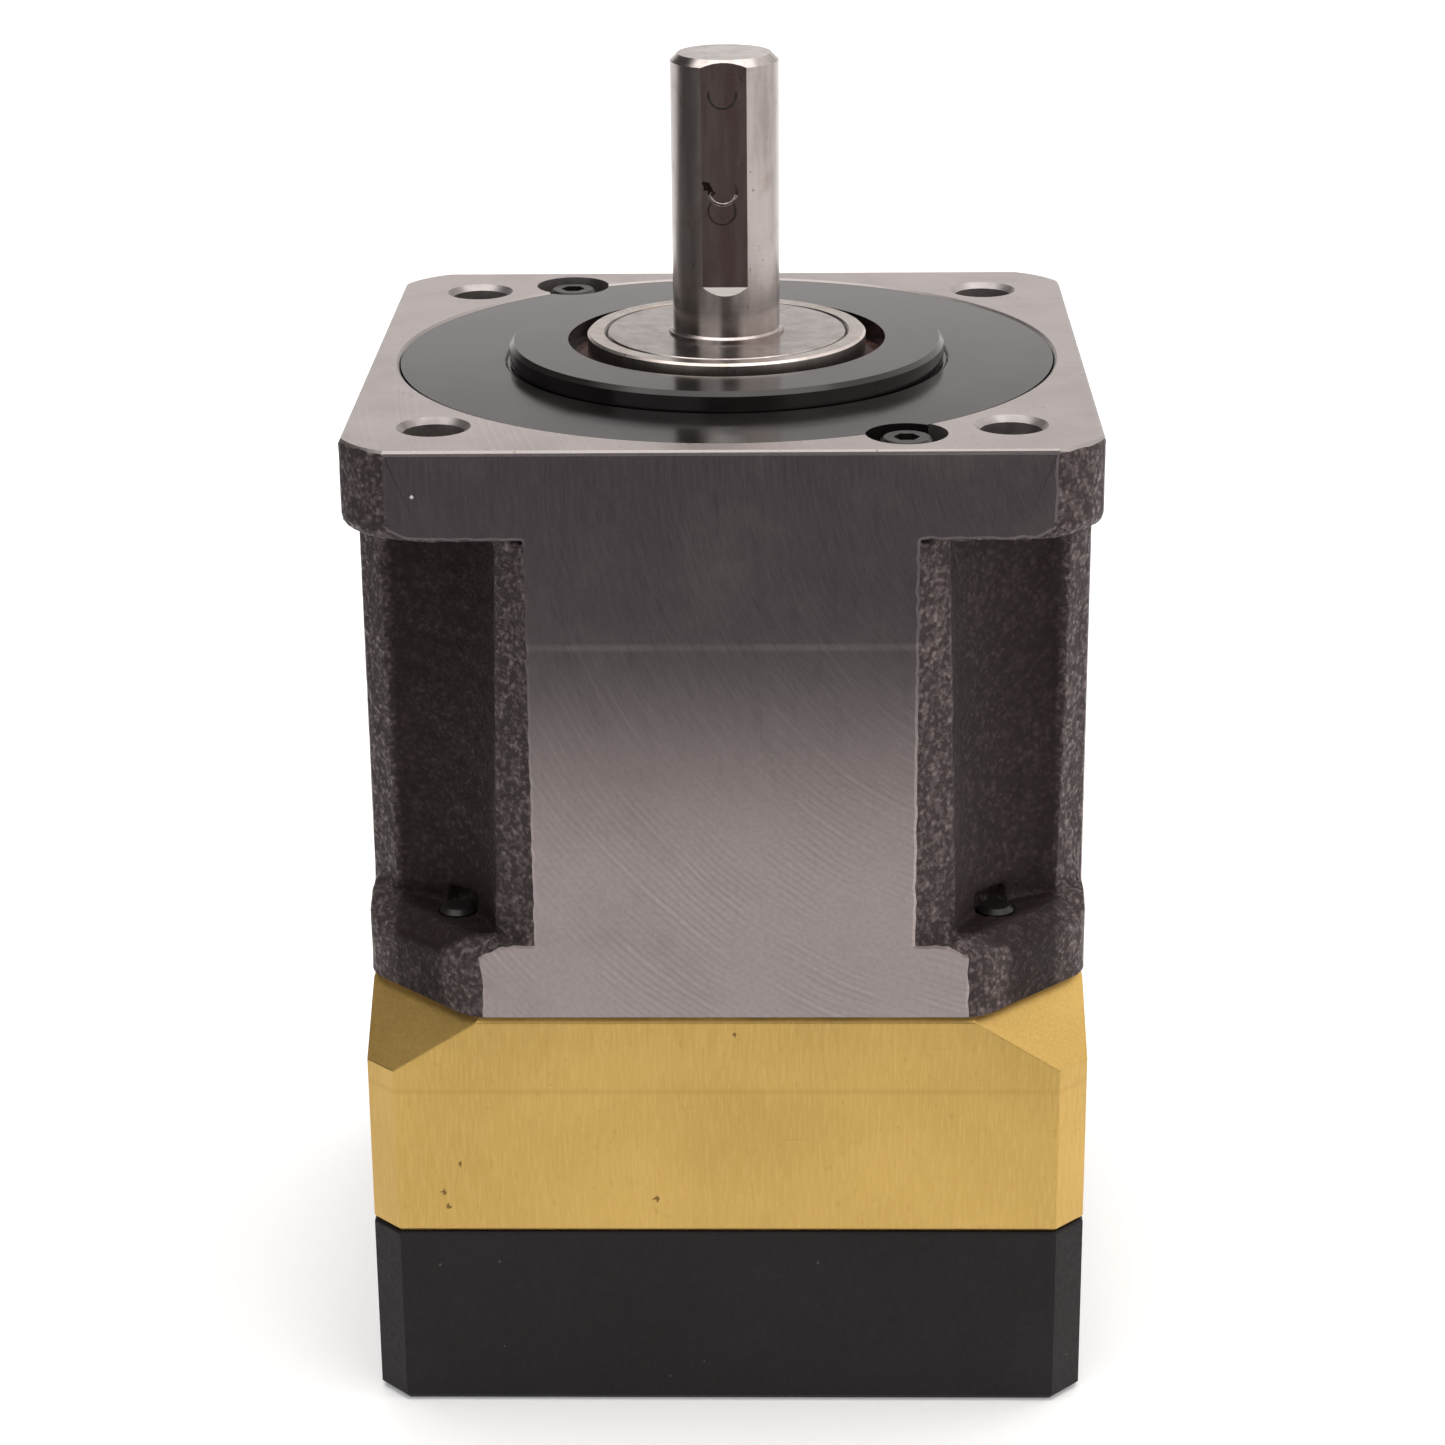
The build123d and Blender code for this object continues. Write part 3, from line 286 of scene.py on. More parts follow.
def cast_iron():
    """As-cast skin: pebbly and pitted outside, finer and browner inside the niches. Painted shade darkens the
    niches and the hollows of the relief, and painted highlights lighten its crests and grit.
    """
    # niche tones: the iron's own brown, darkened with painted shade for the deep niches
    niche_shade_dark, niche_shade_light = (0.0175, 0.0085, 0.008), (0.031, 0.018, 0.0172)
    outside_tone = (0.104, 0.079, 0.078)
    hollow_shade_tone, crest_highlight_tone, gleam_tone = (0.012, 0.0075, 0.0072), (0.31, 0.248, 0.243), (0.15, 0.125, 0.12)
    graph = Graph("cast_iron", Metallic=0.4, Specular_IOR_Level=0.32)
    x, y, _ = graph.axes()
    reach = graph.math("MAXIMUM", graph.math("ABSOLUTE", x), graph.math("ABSOLUTE", y))
    outside = graph.ramp(reach, HALF - 4 * MM, HALF - 2.4 * MM)
    pebbles = graph.noise(1000, 5.0, 0.6, warp=0.5)
    worms = graph.noise(2100, 3.0, 0.6, warp=0.9)
    pits = graph.ramp(graph.cells(1500, feature="SMOOTH_F1"), 0.1, 0.5)
    grit = graph.noise(4200, 3.0, 0.7)
    stain = graph.noise(70, 5.0, 0.6)
    relief = graph.plus(graph.times(pebbles, 0.9), graph.times(worms, 0.55))
    relief = graph.minus(relief, graph.times(pits, 0.25))
    tone = graph.mix(graph.ramp(stain, 0.35, 0.7), niche_shade_dark, niche_shade_light)
    # painted shade: the niches are far darker than the outside strips
    tone = graph.mix(outside, tone, outside_tone)
    # painted shade: low spots of the relief are darkened
    tone = graph.mix(graph.ramp(relief, 0.6, 0.45, 0.0, 0.6), tone, hollow_shade_tone)
    # painted highlight: high spots of the relief are lightened, mostly outside the niches
    crests = graph.ramp(relief, 0.65, 0.84, 0.0, 0.48)
    tone = graph.tint(tone, crest_highlight_tone, crests, graph.scaled(outside, 0.9, 0.05))
    tone = graph.tint(tone, gleam_tone, graph.ramp(grit, 0.6, 0.75), graph.scaled(outside, 0.22, 0.08))
    rough = graph.ramp(relief, 0.45, 0.8, 0.66, 0.36)
    sandy = graph.bump(grit, 0.5, 0.06 * MM)
    coarse = graph.bump(relief, graph.scaled(outside, 0.7, 0.3), 0.42 * MM, below=sandy)
    return graph.finish(tone, rough, coarse)


def dark_bore():
    """Drilled and bored surfaces: turned rings and a film of oil."""
    dry, oily = (0.36, 0.33, 0.32), (0.2, 0.18, 0.175)
    graph = Graph("bored_iron", Metallic=0.8)
    _, _, z = graph.axes()
    rings = graph.noise(1.0, 4.0, 0.7, place=graph.vector(0.0, 0.0, graph.times(z, 3500)))
    tone = graph.mix(graph.ramp(graph.noise(240, 4.0), 0.3, 0.7), dry, oily)
    rough = graph.ramp(rings, 0.3, 0.7, 0.28, 0.42)
    return graph.finish(tone, rough, graph.bump(rings, 0.3, 0.04 * MM))


def gold_anodised():
    """Gold anodised aluminium: fine upright grain, small pits and a faint cutter line."""
    base, cloudy, grain_tone = (0.57, 0.375, 0.11), (0.5, 0.325, 0.092), (0.75, 0.52, 0.19)
    fleck_tone, line_tone, scratch_tone = (0.42, 0.24, 0.055), (0.42, 0.26, 0.07), (0.35, 0.2, 0.05)
    dust_tone, pit_tone = (0.3, 0.17, 0.04), (0.14, 0.075, 0.02)
    band_tone, hair_tone = (0.44, 0.27, 0.07), (0.46, 0.29, 0.075)
    graph = Graph("gold_anodised", Metallic=0.88)
    x, y, z = graph.axes()
    grain = graph.grain((3800, 3800, 330), 6.0, 0.7)
    flecks = graph.grain((1900, 1900, 800), 3.0, 0.7)
    blotch = graph.noise(48, 4.0)
    dust = graph.below(graph.cells(400), 0.03)
    ragged = graph.scaled(graph.noise(2600, 2.0), 1.6 * MM, -0.7 * MM)
    on_front = graph.below(y, -30 * MM)
    pits = 0.0
    for pit_x, pit_z, size in GOLD_PITS_MM:
        spread = graph.plus(graph.gap(x, pit_x * MM), graph.gap(z, BLOCK_Z + pit_z * MM))
        spot = graph.below(graph.plus(spread, ragged), size * MM)
        pits = graph.math("MAXIMUM", pits, graph.times(spot, on_front))
    scratch = graph.grain((60, 60, 1100), 2.0, 0.5, turn=(0.35, 0.2, 0.0))
    hair = graph.grain((70, 70, 5200), 3.0, 0.7)
    brown = graph.grain((1700, 1700, 120), 4.0, 0.6)
    line = graph.ramp(graph.gap(z, GOLD_LINE_Z), 0.1 * MM, 0.5 * MM, 1.0, 0.0)
    band = graph.ramp(graph.gap(z, GOLD_BAND_Z), 0.5 * MM, 3.5 * MM, 0.3, 0.0)
    tone = graph.mix(graph.ramp(blotch, 0.35, 0.7), base, cloudy)
    tone = graph.mix(graph.ramp(grain, 0.4, 0.75, 0.0, 0.45), tone, grain_tone)
    tone = graph.mix(graph.ramp(flecks, 0.58, 0.78, 0.0, 0.5), tone, fleck_tone)
    tone = graph.tint(tone, line_tone, line, 0.3)
    tone = graph.mix(graph.ramp(scratch, 0.73, 0.78, 0.0, 0.35), tone, scratch_tone)
    tone = graph.tint(tone, dust_tone, dust, 0.5)
    tone = graph.tint(tone, pit_tone, pits, 0.85)
    tone = graph.tint(tone, band_tone, band, graph.ramp(brown, 0.5, 0.72))
    tone = graph.mix(graph.ramp(hair, 0.6, 0.75, 0.0, 0.22), tone, hair_tone)
    rough = graph.plus(graph.ramp(grain, 0.3, 0.75, 0.38, 0.5), graph.times(dust, 0.2))
    relief = graph.minus(graph.plus(grain, graph.times(flecks, 0.6)), dust)
    return graph.finish(tone, rough, graph.bump(relief, 0.28, 0.03 * MM))


def black_anodised():
    """Matt black anodised aluminium with a fine milled grain and a little dust."""
    deep, worn = (0.0065, 0.004, 0.0049), (0.0098, 0.0064, 0.0076)
    scuff_tone, dust_tone = (0.06, 0.05, 0.052), (0.12, 0.11, 0.11)
    graph = Graph("black_anodised", Metallic=0.0, Specular_IOR_Level=0.27)
    grain = graph.grain((2400, 2400, 1500), 6.0, 0.65)
    scuff = graph.grain((120, 120, 1400), 3.0, 0.6, turn=(0.0, 0.5, 0.3))
    dust = graph.below(graph.cells(260), 0.035)
    tone = graph.mix(graph.ramp(graph.noise(60, 4.0), 0.35, 0.7), deep, worn)
    tone = graph.mix(graph.ramp(scuff, 0.7, 0.8, 0.0, 0.4), tone, scuff_tone)
    tone = graph.tint(tone, dust_tone, dust, 0.5)
    rough = graph.ramp(grain, 0.3, 0.7, 0.52, 0.66)
    return graph.finish(tone, rough, graph.bump(grain, 0.3, 0.03 * MM))


def black_oxide(name, turned):
    """Blackened steel; turned says that it carries rings about the axis."""
    deep, worn = (0.017, 0.015, 0.0145), (0.029, 0.0255, 0.0245)
    line_tone, speck_tone = (0.06, 0.056, 0.055), (0.2, 0.19, 0.18)
    graph = Graph(name, Metallic=0.5)
    if turned:
        lines = graph.lines(graph.radius(), 4200, 5.0, 0.75)
        sheen, relief = (0.09, 0.17), 0.1
    else:
        lines = graph.noise(2200, 4.0, 0.6)
        sheen, relief = (0.25, 0.4), 0.3
    blotch = graph.noise(85, 5.0, 0.6)
    specks = graph.below(graph.cells(420), 0.05)
    tone = graph.mix(graph.ramp(blotch, 0.35, 0.7), deep, worn)
    tone = graph.mix(graph.ramp(lines, 0.55, 0.8, 0.0, 0.35), tone, line_tone)
    tone = graph.tint(tone, speck_tone, specks, 0.25)
    rough = graph.plus(graph.ramp(lines, 0.3, 0.75, *sheen), graph.times(blotch, 0.05))
    return graph.finish(tone, rough, graph.bump(lines, relief, 0.02 * MM))


def shaft_marks(graph, tone, runs, upward):
    """Marks on the shaft's flat: stained ground, a painted highlight on the run-out, set-screw bites with
    painted shade in their grooves, a spill.
    """
    flat_tone, runout_highlight_tone = (0.27, 0.16, 0.15), (0.95, 0.89, 0.85)
    bite_groove_shade, spill_tone = (0.03, 0.015, 0.013), (0.02, 0.009, 0.007)
    x, _, z = graph.axes()
    _, toward, _ = graph.face_normal()
    on_flat = graph.times(graph.below(toward, -0.999), graph.above(z, FLAT_FOOT_Z))
    tone = graph.tint(tone, flat_tone, on_flat, graph.ramp(runs, 0.3, 0.65, 0.35, 0.7))
    # painted highlight: the curved run-out at the flat's foot, facing up and forward, is painted near white
    runout_highlight = graph.times(graph.below(toward, -0.4), graph.above(upward, 0.2))
    runout_highlight = graph.times(runout_highlight, graph.below(z, RUNOUT_TOP))
    runout_highlight = graph.times(runout_highlight, graph.above(z, RUNOUT_BOTTOM))
    tone = graph.mix(runout_highlight, tone, runout_highlight_tone)
    fading = graph.noise(500, 2.0)
    # painted shade: a dark ring line round each bite stands in for the shade in the groove that the screw
    # pressed, which the mesh does not have
    for bite_x, bite_drop, bite_r in BITES_MM:
        off_x = graph.minus(x, bite_x * MM)
        off_z = graph.minus(z, SHAFT_END - bite_drop * MM)
        edge = graph.ramp(graph.gap(graph.length(off_x, off_z), bite_r * MM), 0.08 * MM, 0.19 * MM, 0.9, 0.0)
        lower = graph.ramp(graph.scaled(fading, 1.6 * MM, off_z), 0.2 * MM, 1.9 * MM, 1.0, 0.0)
        tone = graph.tint(tone, bite_groove_shade, graph.times(edge, on_flat), lower)
    off_x, off_z = graph.minus(x, SPILL_X), graph.minus(z, SPILL_Z)
    spill = graph.length(graph.times(graph.minus(off_x, off_z), 0.5), graph.plus(off_x, off_z))
    spill = graph.scaled(graph.noise(1900, 3.0), 1.7 * MM, spill)
    return graph.tint(tone, spill_tone, graph.times(graph.below(spill, SPILL_R), on_flat), 0.9)


def ground_steel(name, light, dark, stain_tone, stain_amount, turned):
    """Ground steel with marks on the shaft's flat, or turned steel with rings on its ends."""
    nick_tone, seam_shade_tone, speck_tone = (0.1, 0.075, 0.065), (0.05, 0.04, 0.035), (0.07, 0.05, 0.045)
    graph = Graph(name, Metallic=1.0)
    _, _, z = graph.axes()
    radius = graph.radius()
    _, _, upward = graph.face_normal()
    if turned:
        along, sheen = radius, (0.2, 0.34)
    else:
        end_on = graph.above(upward, 0.7)
        along = graph.add("ShaderNodeMix", {"Factor": end_on, 2: z, 3: radius}).outputs[0]
        sheen = (0.12, 0.22)
    lines = graph.lines(along, 5200, 5.0, 0.75)
    blotch = graph.noise(150, 6.0, 0.62)
    runs = graph.grain((420, 420, 60), 5.0, 0.6)
    specks = graph.below(graph.cells(520), 0.08)
    nicks = graph.ramp(graph.grain((1500, 1500, 420), 3.0, 0.65), 0.67, 0.71)
    # painted shade: a thin dark ring where the collar meets the hub's nose stands in for the shade in the gap
    # between them
    seam = graph.below(graph.gap(radius, SEAM_R), SEAM_HALF_WIDTH)
    seam = graph.times(seam, graph.above(z, COLLAR_TOP - 0.8 * MM))
    tone = graph.mix(graph.ramp(runs, 0.35, 0.7), light, dark)
    tone = graph.tint(tone, nick_tone, nicks, 0.7)
    tone = graph.tint(tone, seam_shade_tone, seam, 0.85)
    tone = graph.mix(graph.ramp(blotch, 0.5, 0.72, 0.0, stain_amount), tone, stain_tone)
    tone = graph.tint(tone, speck_tone, specks, 0.55)
    if not turned:
        tone = shaft_marks(graph, tone, runs, upward)
    rough = graph.plus(graph.ramp(lines, 0.3, 0.75, *sheen), graph.times(blotch, 0.1))
    return graph.finish(tone, rough, graph.bump(lines, 0.25, 0.02 * MM))


def rubber(name, low, high):
    """Dark smeared surface: rubber, or burrs that a screw has pressed up, painted near black as the shade of
    their bite grooves.
    """
    graph = Graph(name)
    smear = graph.noise(420, 5.0, 0.6)
    tone = graph.mix(graph.ramp(smear, 0.35, 0.7), low, high)
    return graph.finish(tone, graph.ramp(smear, 0.35, 0.7, 0.22, 0.55), graph.bump(smear, 0.35, 0.06 * MM))


def polymer():
    """Moulded polyamide of the bearing cages."""
    graph = Graph("cage_polymer")
    grain = graph.noise(1500, 4.0)
    tone = graph.mix(graph.ramp(grain, 0.35, 0.7), (0.55, 0.47, 0.3), (0.62, 0.54, 0.36))
    return graph.finish(tone, graph.ramp(grain, 0.3, 0.7, 0.42, 0.58), graph.bump(grain, 0.2, 0.04 * MM))


def floor_paper():
    """White paper that glows with painted light, more strongly further behind the object, and is painted in
    shade in front of it and to its left.
    """
    white, bright_white, shade_tone, unlit = (0.88,) * 3, (0.92,) * 3, (0.1, 0.094, 0.094), (0.0,) * 3
    near_glow, far_glow, glow_strength = (0.32,) * 3, (1.0,) * 3, 0.56
    front_edge, right_edge = (-0.26, -0.11), (0.12, 0.26)
    left_edge, back_edge = (-0.26, -0.17), (0.3, 0.42)
    glow_rise = (0.25, 1.3)
    graph = Graph("floor_paper", Emission_Strength=glow_strength)
    fibre = graph.noise(900, 5.0)
    x, y, _ = graph.axes()
    front = graph.times(graph.ramp(y, *front_edge, 1.0, 0.0), graph.ramp(x, *right_edge, 1.0, 0.0))
    left = graph.times(graph.ramp(x, *left_edge, 1.0, 0.0), graph.ramp(y, *back_edge, 1.0, 0.0))
    # painted shade: the paper darkens in front of the object and to its left, giving dark surroundings to
    # reflect
    shade = graph.math("MAXIMUM", front, left)
    tone = graph.mix(graph.ramp(fibre, 0.35, 0.7), white, bright_white)
    tone = graph.mix(shade, tone, shade_tone)
    # painted light: the paper glows, brighter with distance behind the object, and not at all where it is
    # painted in shade
    glow = graph.mix(graph.ramp(y, *glow_rise), near_glow, far_glow)
    graph.feed(graph.shader.inputs["Emission Color"], graph.mix(shade, glow, unlit))
    return graph.finish(tone, graph.ramp(fibre, 0.3, 0.7, 0.6, 0.7), graph.bump(fibre, 0.1, 0.05 * MM))


# --- output housing: the machined faces stay flat, the cast skin gets its lumps ------------
CAST, SIDE, TOP, BORE = range(4)
WELD_GAP = 0.002 * MM
HOLE_REACH = 1.35 * HOLE_R
MACHINED_EPS = 0.06 * MM
FLANGE_BOTTOM_Z = FLANGE_TOP - 10 * MM
SEAT_Z = FLANGE_TOP - 4 * MM
SEAT_R = HALF + 4 * MM
COVER_REACH = COVER_R + 0.2 * MM
TOP_BEVEL_Z = FLANGE_TOP - 0.5 * MM
CAST_GRID = 0.9 * MM
CUT_GAP = 0.01 * MM
LUMP_SIZE = 1 / (2.6 * MM)
LUMP_HEIGHT = 0.16 * MM
LUMP_OCTAVES = (0.8, 2.1, 3)
SMOOTHING_PASSES = 3
EDGE_WAVE = 1 / (1.6 * MM)
EDGE_SWING = 0.2 * MM
EDGE_OCTAVES = (0.7, 2.0, 3)
RIM_WIDTH = 0.3 * MM
RIM_DROP = 0.13 * MM
CREASE = radians(35)


def surface_kind(face):
    """Which finish a face of the housing has, from where it lies and faces."""
    middle, normal = face.calc_center_median(), face.normal
    radius = hypot(middle.x, middle.y)
    hole_x, hole_y = HOLE_RING_R * cos(pi / 4), HOLE_RING_R * sin(pi / 4)
    at_hole = hypot(abs(middle.x) - hole_x, abs(middle.y) - hole_y) < HOLE_REACH
    if radius < COVER_REACH and normal.z < 0.3:
        return BORE
    if abs(normal.x) > 0.99 and abs(middle.x) > HALF - MACHINED_EPS:
        return SIDE
    if abs(normal.y) > 0.99 and abs(middle.y) > HALF - MACHINED_EPS:
        return SIDE
    if middle.z > TOP_BEVEL_Z and normal.z > 0.3 and not at_hole:
        return TOP
    if middle.z > FLANGE_BOTTOM_Z + MACHINED_EPS and at_hole:
        return BORE
    if middle.z > SEAT_Z and abs(normal.z) > 0.9 or middle.z < JOINT_Z + MACHINED_EPS:
        return BORE
    if middle.z > SEAT_Z and radius < SEAT_R:
        return BORE
    return CAST


def kinds_at(item):
    """Finishes of the faces that meet at a vertex or an edge."""
    return {face.material_index for face in item.link_faces}


def cut_cast_skin(mesh):
    """Cut the cast faces into a grid fine enough to carry the lumps."""
    for axis in range(3):
        low, high = housing_low[axis], housing_high[axis]
        count = int((high - low) / CAST_GRID)
        direction = Vector([float(axis == k) for k in range(3)])
        for index in range(1, count):
            place = direction * (low + (high - low) * index / count)
            cast = [f for f in mesh.faces if f.material_index == CAST
                    and min(v.co[axis] for v in f.verts) < place[axis] < max(v.co[axis] for v in f.verts)]
            geometry = set(cast) | {e for f in cast for e in f.edges} | {v for f in cast for v in f.verts}
            bmesh.ops.bisect_plane(mesh, geom=list(geometry), plane_co=place, plane_no=direction,
                                   dist=CUT_GAP)
    bmesh.ops.triangulate(mesh, faces=[f for f in mesh.faces if len(f.verts) > 4])
    mesh.normal_update()


def wave_edges(mesh):
    """Uneven line where a machined face cuts the cast skin."""
    for vert in mesh.verts:
        if kinds_at(vert) not in ({CAST, SIDE}, {CAST, TOP}):
            continue
        plane = next(f.normal for f in vert.link_faces if f.material_index != CAST).copy()
        lean = sum((f.normal for f in vert.link_faces if f.material_index == CAST), Vector())
        lean -= plane * lean.dot(plane)
        if lean.length > 1e-6 and JOINT_Z + MM < vert.co.z < FLANGE_TOP + MACHINED_EPS:
            wave = noise.fractal(vert.co * EDGE_WAVE, *EDGE_OCTAVES)
            vert.co += lean.normalized() * EDGE_SWING * (wave - 0.5)
    mesh.normal_update()


def ease_rims(mesh):
    """Worn, slightly rounded rim of the machined sides where they meet the cast skin."""
    sides = [f for f in mesh.faces if f.material_index == SIDE]
    bmesh.ops.inset_region(mesh, faces=sides, thickness=RIM_WIDTH, use_boundary=True)
    for vert in mesh.verts:
        limit = HALF - RIM_DROP if {CAST, SIDE} <= kinds_at(vert) <= {CAST, SIDE, TOP} else HALF
        for axis in (0, 1):
            if abs(vert.co[axis]) > limit:
                vert.co[axis] = copysign(limit, vert.co[axis])
    mesh.normal_update()


def roughen_cast_skin(mesh):
    """Round the cast faces' inner edges and lift them into low lumps."""
    free = [v for v in mesh.verts if kinds_at(v) == {CAST}]
    for _ in range(SMOOTHING_PASSES):
        bmesh.ops.smooth_vert(mesh, verts=free, factor=0.5, use_axis_x=True, use_axis_y=True, use_axis_z=True)
    mesh.normal_update()
    for vert in free:
        lump = noise.fractal(vert.co * LUMP_SIZE, *LUMP_OCTAVES)
        vert.co += vert.normal * LUMP_HEIGHT * (lump - 0.5)
    mesh.normal_update()


def shade_by_kind(mesh):
    """Smooth cast skin and bores, sharp lines between finishes."""
    for face in mesh.faces:
        face.smooth = face.material_index in (CAST, BORE)
    for edge in mesh.edges:
        edge.smooth = len(kinds_at(edge)) == 1 and edge.calc_face_angle(pi) < CREASE


def new_piece(name, mesh, materials, body):
    """Object from a bmesh, carried by a body."""
    data = bpy.data.meshes.new(name)
    mesh.to_mesh(data)
    mesh.free()
    for material in materials:
        data.materials.append(material)
    piece = bpy.data.objects.new(name, data)
    bpy.context.scene.collection.objects.link(piece)
    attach(piece, body)
    return piece


mesh = bmesh.new()
mesh.from_mesh(nodes["output_housing"].data)
bmesh.ops.remove_doubles(mesh, verts=mesh.verts, dist=WELD_GAP)
mesh.normal_update()
for face in mesh.faces:
    face.material_index = surface_kind(face)
cut_cast_skin(mesh)
wave_edges(mesh)
ease_rims(mesh)
roughen_cast_skin(mesh)
shade_by_kind(mesh)
housing_finishes = (cast_iron(), machined_iron(), milled_top_iron(), dark_bore())
housing = new_piece("housing_casting", mesh, housing_finishes, "housing")
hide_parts("output_housing")


# --- finishes of the CAD nodes ------------------------------------------------------------
SAME_PLANE = radians(0.6)
BEVELLED_EDGE = radians(25)
BEVEL_STEPS = 2
LARGE_FACES_FIRST = 100


def soften(node, width):
    """Small rounded edges on a CAD node, so that its corners catch the light."""
    weld = node.modifiers.new("weld", "WELD")
    weld.merge_threshold = WELD_GAP
    flat = node.modifiers.new("flat", "DECIMATE")
    flat.decimate_type = "DISSOLVE"
    flat.angle_limit = SAME_PLANE
    bevel = node.modifiers.new("bevel", "BEVEL")
    bevel.width = width
    bevel.segments = BEVEL_STEPS
    bevel.limit_method = "ANGLE"
    bevel.angle_limit = BEVELLED_EDGE
    shading = node.modifiers.new("shading", "WEIGHTED_NORMAL")
    shading.weight = LARGE_FACES_FIRST


# light and dark tone, stain tone, how strongly it stains, and whether it is turned
STEELS = {
    "ground_steel": ((0.44, 0.398, 0.38), (0.31, 0.274, 0.26), (0.24, 0.17, 0.135), 0.45, False),
    "turned_steel": ((0.62, 0.555, 0.52), (0.48, 0.425, 0.39), (0.33, 0.24, 0.15), 0.6, True),
    "gear_steel": ((0.5, 0.49, 0.48), (0.36, 0.35, 0.34), (0.22, 0.19, 0.16), 0.3, False),
    "bearing_steel": ((0.7, 0.7, 0.71), (0.62, 0.62, 0.63), (0.4, 0.38, 0.36), 0.2, False),
}
steels = {name: ground_steel(name, *look) for name, look in STEELS.items()}
# painted shade: the upper and lower bite burrs are coloured near black to stand in for the shade in the
# grooves beside them
pressed = rubber("pressed_steel_shade", (0.012, 0.006, 0.005), (0.03, 0.017, 0.015))
screw_black = black_oxide("screw_black_oxide", False)
cord_black = rubber("black_rubber", (0.012, 0.012, 0.012), (0.025, 0.025, 0.025))

FINISH_BY_SLOT = {
    "black_oxide_steel": screw_black,
    "ground_steel": steels["ground_steel"],
    "gear_steel": steels["gear_steel"],
    "bearing_steel": steels["bearing_steel"],
    "cage_polymer": polymer(),
    "seal_rubber": rubber("seal_rubber", (0.03, 0.009, 0.007), (0.07, 0.023, 0.018)),
    "black_rubber": cord_black,
    "gold_anodised": gold_anodised(),
    "black_anodised": black_anodised(),
    "plug_plastic": cord_black,
}
FINISH_BY_NODE = {
    "bearing_cover": black_oxide("turned_black_oxide", True),
    "seal_collar": steels["turned_steel"],
    "housing_bolts": screw_black,
}
slot_of = {part["node"]: part["material_slot"] for part in frame["record"]["subparts"]}
for name, node in nodes.items():
    if name != "output_housing":
        node.data.materials.clear()
        node.data.materials.append(FINISH_BY_NODE.get(name) or FINISH_BY_SLOT[slot_of[name]])

soften(nodes["ring_housing"], 0.14 * MM)
soften(nodes["motor_adapter"], 0.2 * MM)

# --- burrs that a set screw's cup point pressed into the shaft's flat ----------------------
BURR_STEPS = 40
BURR_SIDES = 6
BURR_SPREAD = 1.6
BURR_SINK = 0.01 * MM
BURR_ENDS, BURR_MIDDLE = 0.35, 0.65
BURR_RIPPLE, RIPPLES_PER_RADIAN = 0.18, 5
PROBE_DROP = 8 * MM
# name, first and last degree of the arc, height of the burr, finish; one for each bite
BURRS = (("upper_bite", -172, -8, 0.09 * MM, pressed), ("lower_bite", -215, 35, 0.08 * MM, pressed),
         ("middle_bite", -165, -15, 0.11 * MM, steels["ground_steel"]))


def burr(name, across, height, ring_r, first, last, rise, finish):
    """Arc of raised metal on the flat, highest in its middle."""
    mesh = bmesh.new()
    rows = []
    for step in range(BURR_STEPS + 1):
        turn = first + (last - first) * step / BURR_STEPS
        swell = BURR_ENDS + BURR_MIDDLE * sin(pi * step / BURR_STEPS)
        swell += BURR_RIPPLE * sin(RIPPLES_PER_RADIAN * turn)
        row = []
        for corner in range(BURR_SIDES):
            angle = pi * corner / (BURR_SIDES - 1)
            reach = ring_r + rise * BURR_SPREAD * cos(angle)
            depth = flat_y - rise * swell * sin(angle) + BURR_SINK
            row.append(mesh.verts.new((across + reach * cos(turn), depth, height + reach * sin(turn))))
        rows.append(row)
    for low, high in zip(rows, rows[1:]):
        for corner in range(BURR_SIDES - 1):
            mesh.faces.new((low[corner], low[corner + 1], high[corner + 1], high[corner]))
    bmesh.ops.recalc_face_normals(mesh, faces=mesh.faces)
    for face in mesh.faces:
        face.smooth = True
    new_piece(name, mesh, (finish,), "output")


shaft_mesh = nodes["output_shaft"].data
shaft_tree = BVHTree.FromPolygons([v.co for v in shaft_mesh.vertices],
                                  [p.vertices for p in shaft_mesh.polygons])
probe = Vector((0.0, -HALF, SHAFT_END - PROBE_DROP))
flat_y = shaft_tree.ray_cast(probe, Vector((0.0, 1.0, 0.0)))[0].y
for (across, drop, ring_r), (name, first, last, rise, finish) in zip(BITES_MM, BURRS):
    burr(name, across * MM, SHAFT_END - drop * MM, ring_r * MM, radians(first), radians(last), rise, finish)

# --- stage: pale floor, soft light, camera ------------------------------------------------
FLOOR_R = 4.0
FLOOR_SIDES = 96
# steps of the room's brightness along one axis: from, to, value before, value after
FRONT_TO_BACK = (-0.75, 0.35, 0.2, 1.08)
HORIZON_DIMMING = (0.225, 0.275, 1.0, 0.46)
LEFT_DIMMING = (-0.62, -0.3, 0.12, 1.0)
RIGHT_GLOW = (0.3, 0.62, 0.0, 1.3)
OVERHEAD_GLOW = (0.72, 0.82, 0.0, 1.25)
ROOM_TINT = (1.0, 0.965, 0.95, 1.0)
CEILING = ("ceiling", (0.0, 0.1, 0.8), (0.0, 0.0, 0.05), 0.9, 4.5)
FRONT_LEFT = ("front_left", (-0.5, -0.7, 0.45), (0.0, 0.0, 0.07), 0.8, 2.0)
CAMERA_PLACE = Vector((7.515, -391.335, 212.466)) * MM
CAMERA_YAW = radians(1.229)
CAMERA_PITCH = radians(20.332)
CAMERA_ROLL = radians(-0.546)
LENS = 88.45
SENSOR = 36
CLIP_NEAR, CLIP_FAR = 0.01, 20


def floor():
    """Disc under the object, wide enough to fill the view."""
    data = bpy.data.meshes.new("floor")
    mesh = bmesh.new()
    bmesh.ops.create_circle(mesh, cap_ends=True, radius=FLOOR_R, segments=FLOOR_SIDES)
    mesh.to_mesh(data)
    mesh.free()
    data.materials.append(floor_paper())
    disc = bpy.data.objects.new("floor", data)
    bpy.context.scene.collection.objects.link(disc)


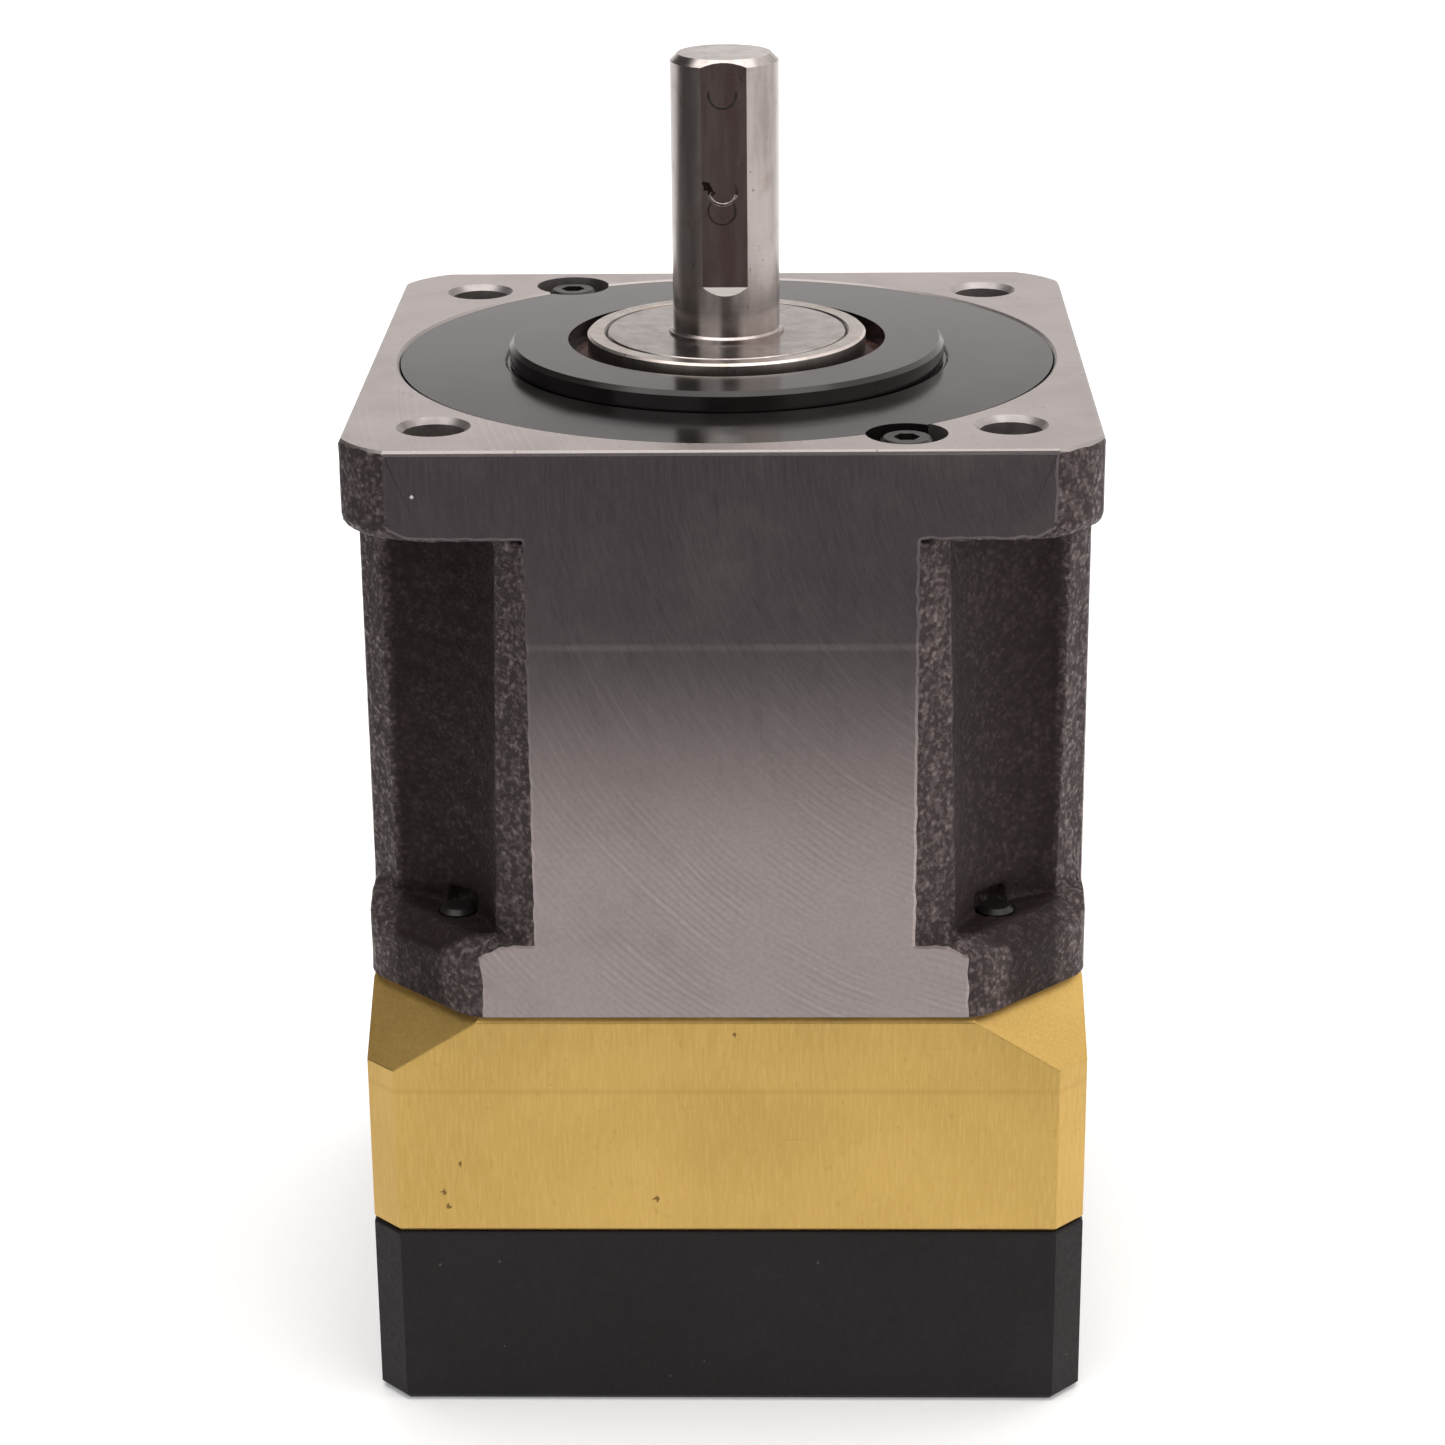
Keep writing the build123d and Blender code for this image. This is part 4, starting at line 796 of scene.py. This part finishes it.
def softbox(name, place, target, width, watts):
    """Square area light at place, turned toward target."""
    light = bpy.data.lights.new(name, "AREA")
    light.shape = "RECTANGLE"
    light.size = width
    light.size_y = width
    light.energy = watts
    lamp = bpy.data.objects.new(name, light)
    lamp.location = place
    lamp.rotation_euler = (Vector(target) - Vector(place)).to_track_quat("-Z", "Y").to_euler()
    bpy.context.scene.collection.objects.link(lamp)


def surroundings():
    """Pale room: dark in front and to the left of the object, bright to its right and overhead."""
    world = bpy.data.worlds.new("room")
    world.use_nodes = True
    tree = world.node_tree
    background = tree.nodes["Background"]
    place = tree.nodes.new("ShaderNodeTexCoord")
    split = tree.nodes.new("ShaderNodeSeparateXYZ")
    tree.links.new(place.outputs["Generated"], split.inputs[0])

    def blend(axis, step):
        node = tree.nodes.new("ShaderNodeMapRange")
        node.interpolation_type = "SMOOTHSTEP"
        for index, value in enumerate(step, start=1):
            node.inputs[index].default_value = value
        tree.links.new(split.outputs[axis], node.inputs[0])
        return node.outputs[0]

    def combine(operation, first, second):
        node = tree.nodes.new("ShaderNodeMath")
        node.operation = operation
        tree.links.new(first, node.inputs[0])
        tree.links.new(second, node.inputs[1])
        return node.outputs[0]

    strength = combine("MULTIPLY", blend("Y", FRONT_TO_BACK), blend("Z", HORIZON_DIMMING))
    strength = combine("MULTIPLY", strength, blend("X", LEFT_DIMMING))
    strength = combine("MAXIMUM", strength, blend("X", RIGHT_GLOW))
    strength = combine("MAXIMUM", strength, blend("Z", OVERHEAD_GLOW))
    tree.links.new(strength, background.inputs["Strength"])
    background.inputs["Color"].default_value = ROOM_TINT
    bpy.context.scene.world = world


def camera():
    """Eye above the front of the object, looking down at it."""
    data = bpy.data.cameras.new("camera")
    data.lens = LENS
    data.sensor_width = SENSOR
    data.clip_start = CLIP_NEAR
    data.clip_end = CLIP_FAR
    eye = bpy.data.objects.new("camera", data)
    turn = Matrix.Rotation(CAMERA_YAW, 4, "Z") @ Matrix.Rotation(pi / 2 - CAMERA_PITCH, 4, "X")
    eye.matrix_world = Matrix.Translation(CAMERA_PLACE) @ turn @ Matrix.Rotation(CAMERA_ROLL, 4, "Z")
    bpy.context.scene.collection.objects.link(eye)
    bpy.context.scene.camera = eye


floor()
surroundings()
softbox(*CEILING)
softbox(*FRONT_LEFT)
camera()
bpy.context.scene.view_settings.view_transform = "Standard"

bpy.context.view_layer.update()
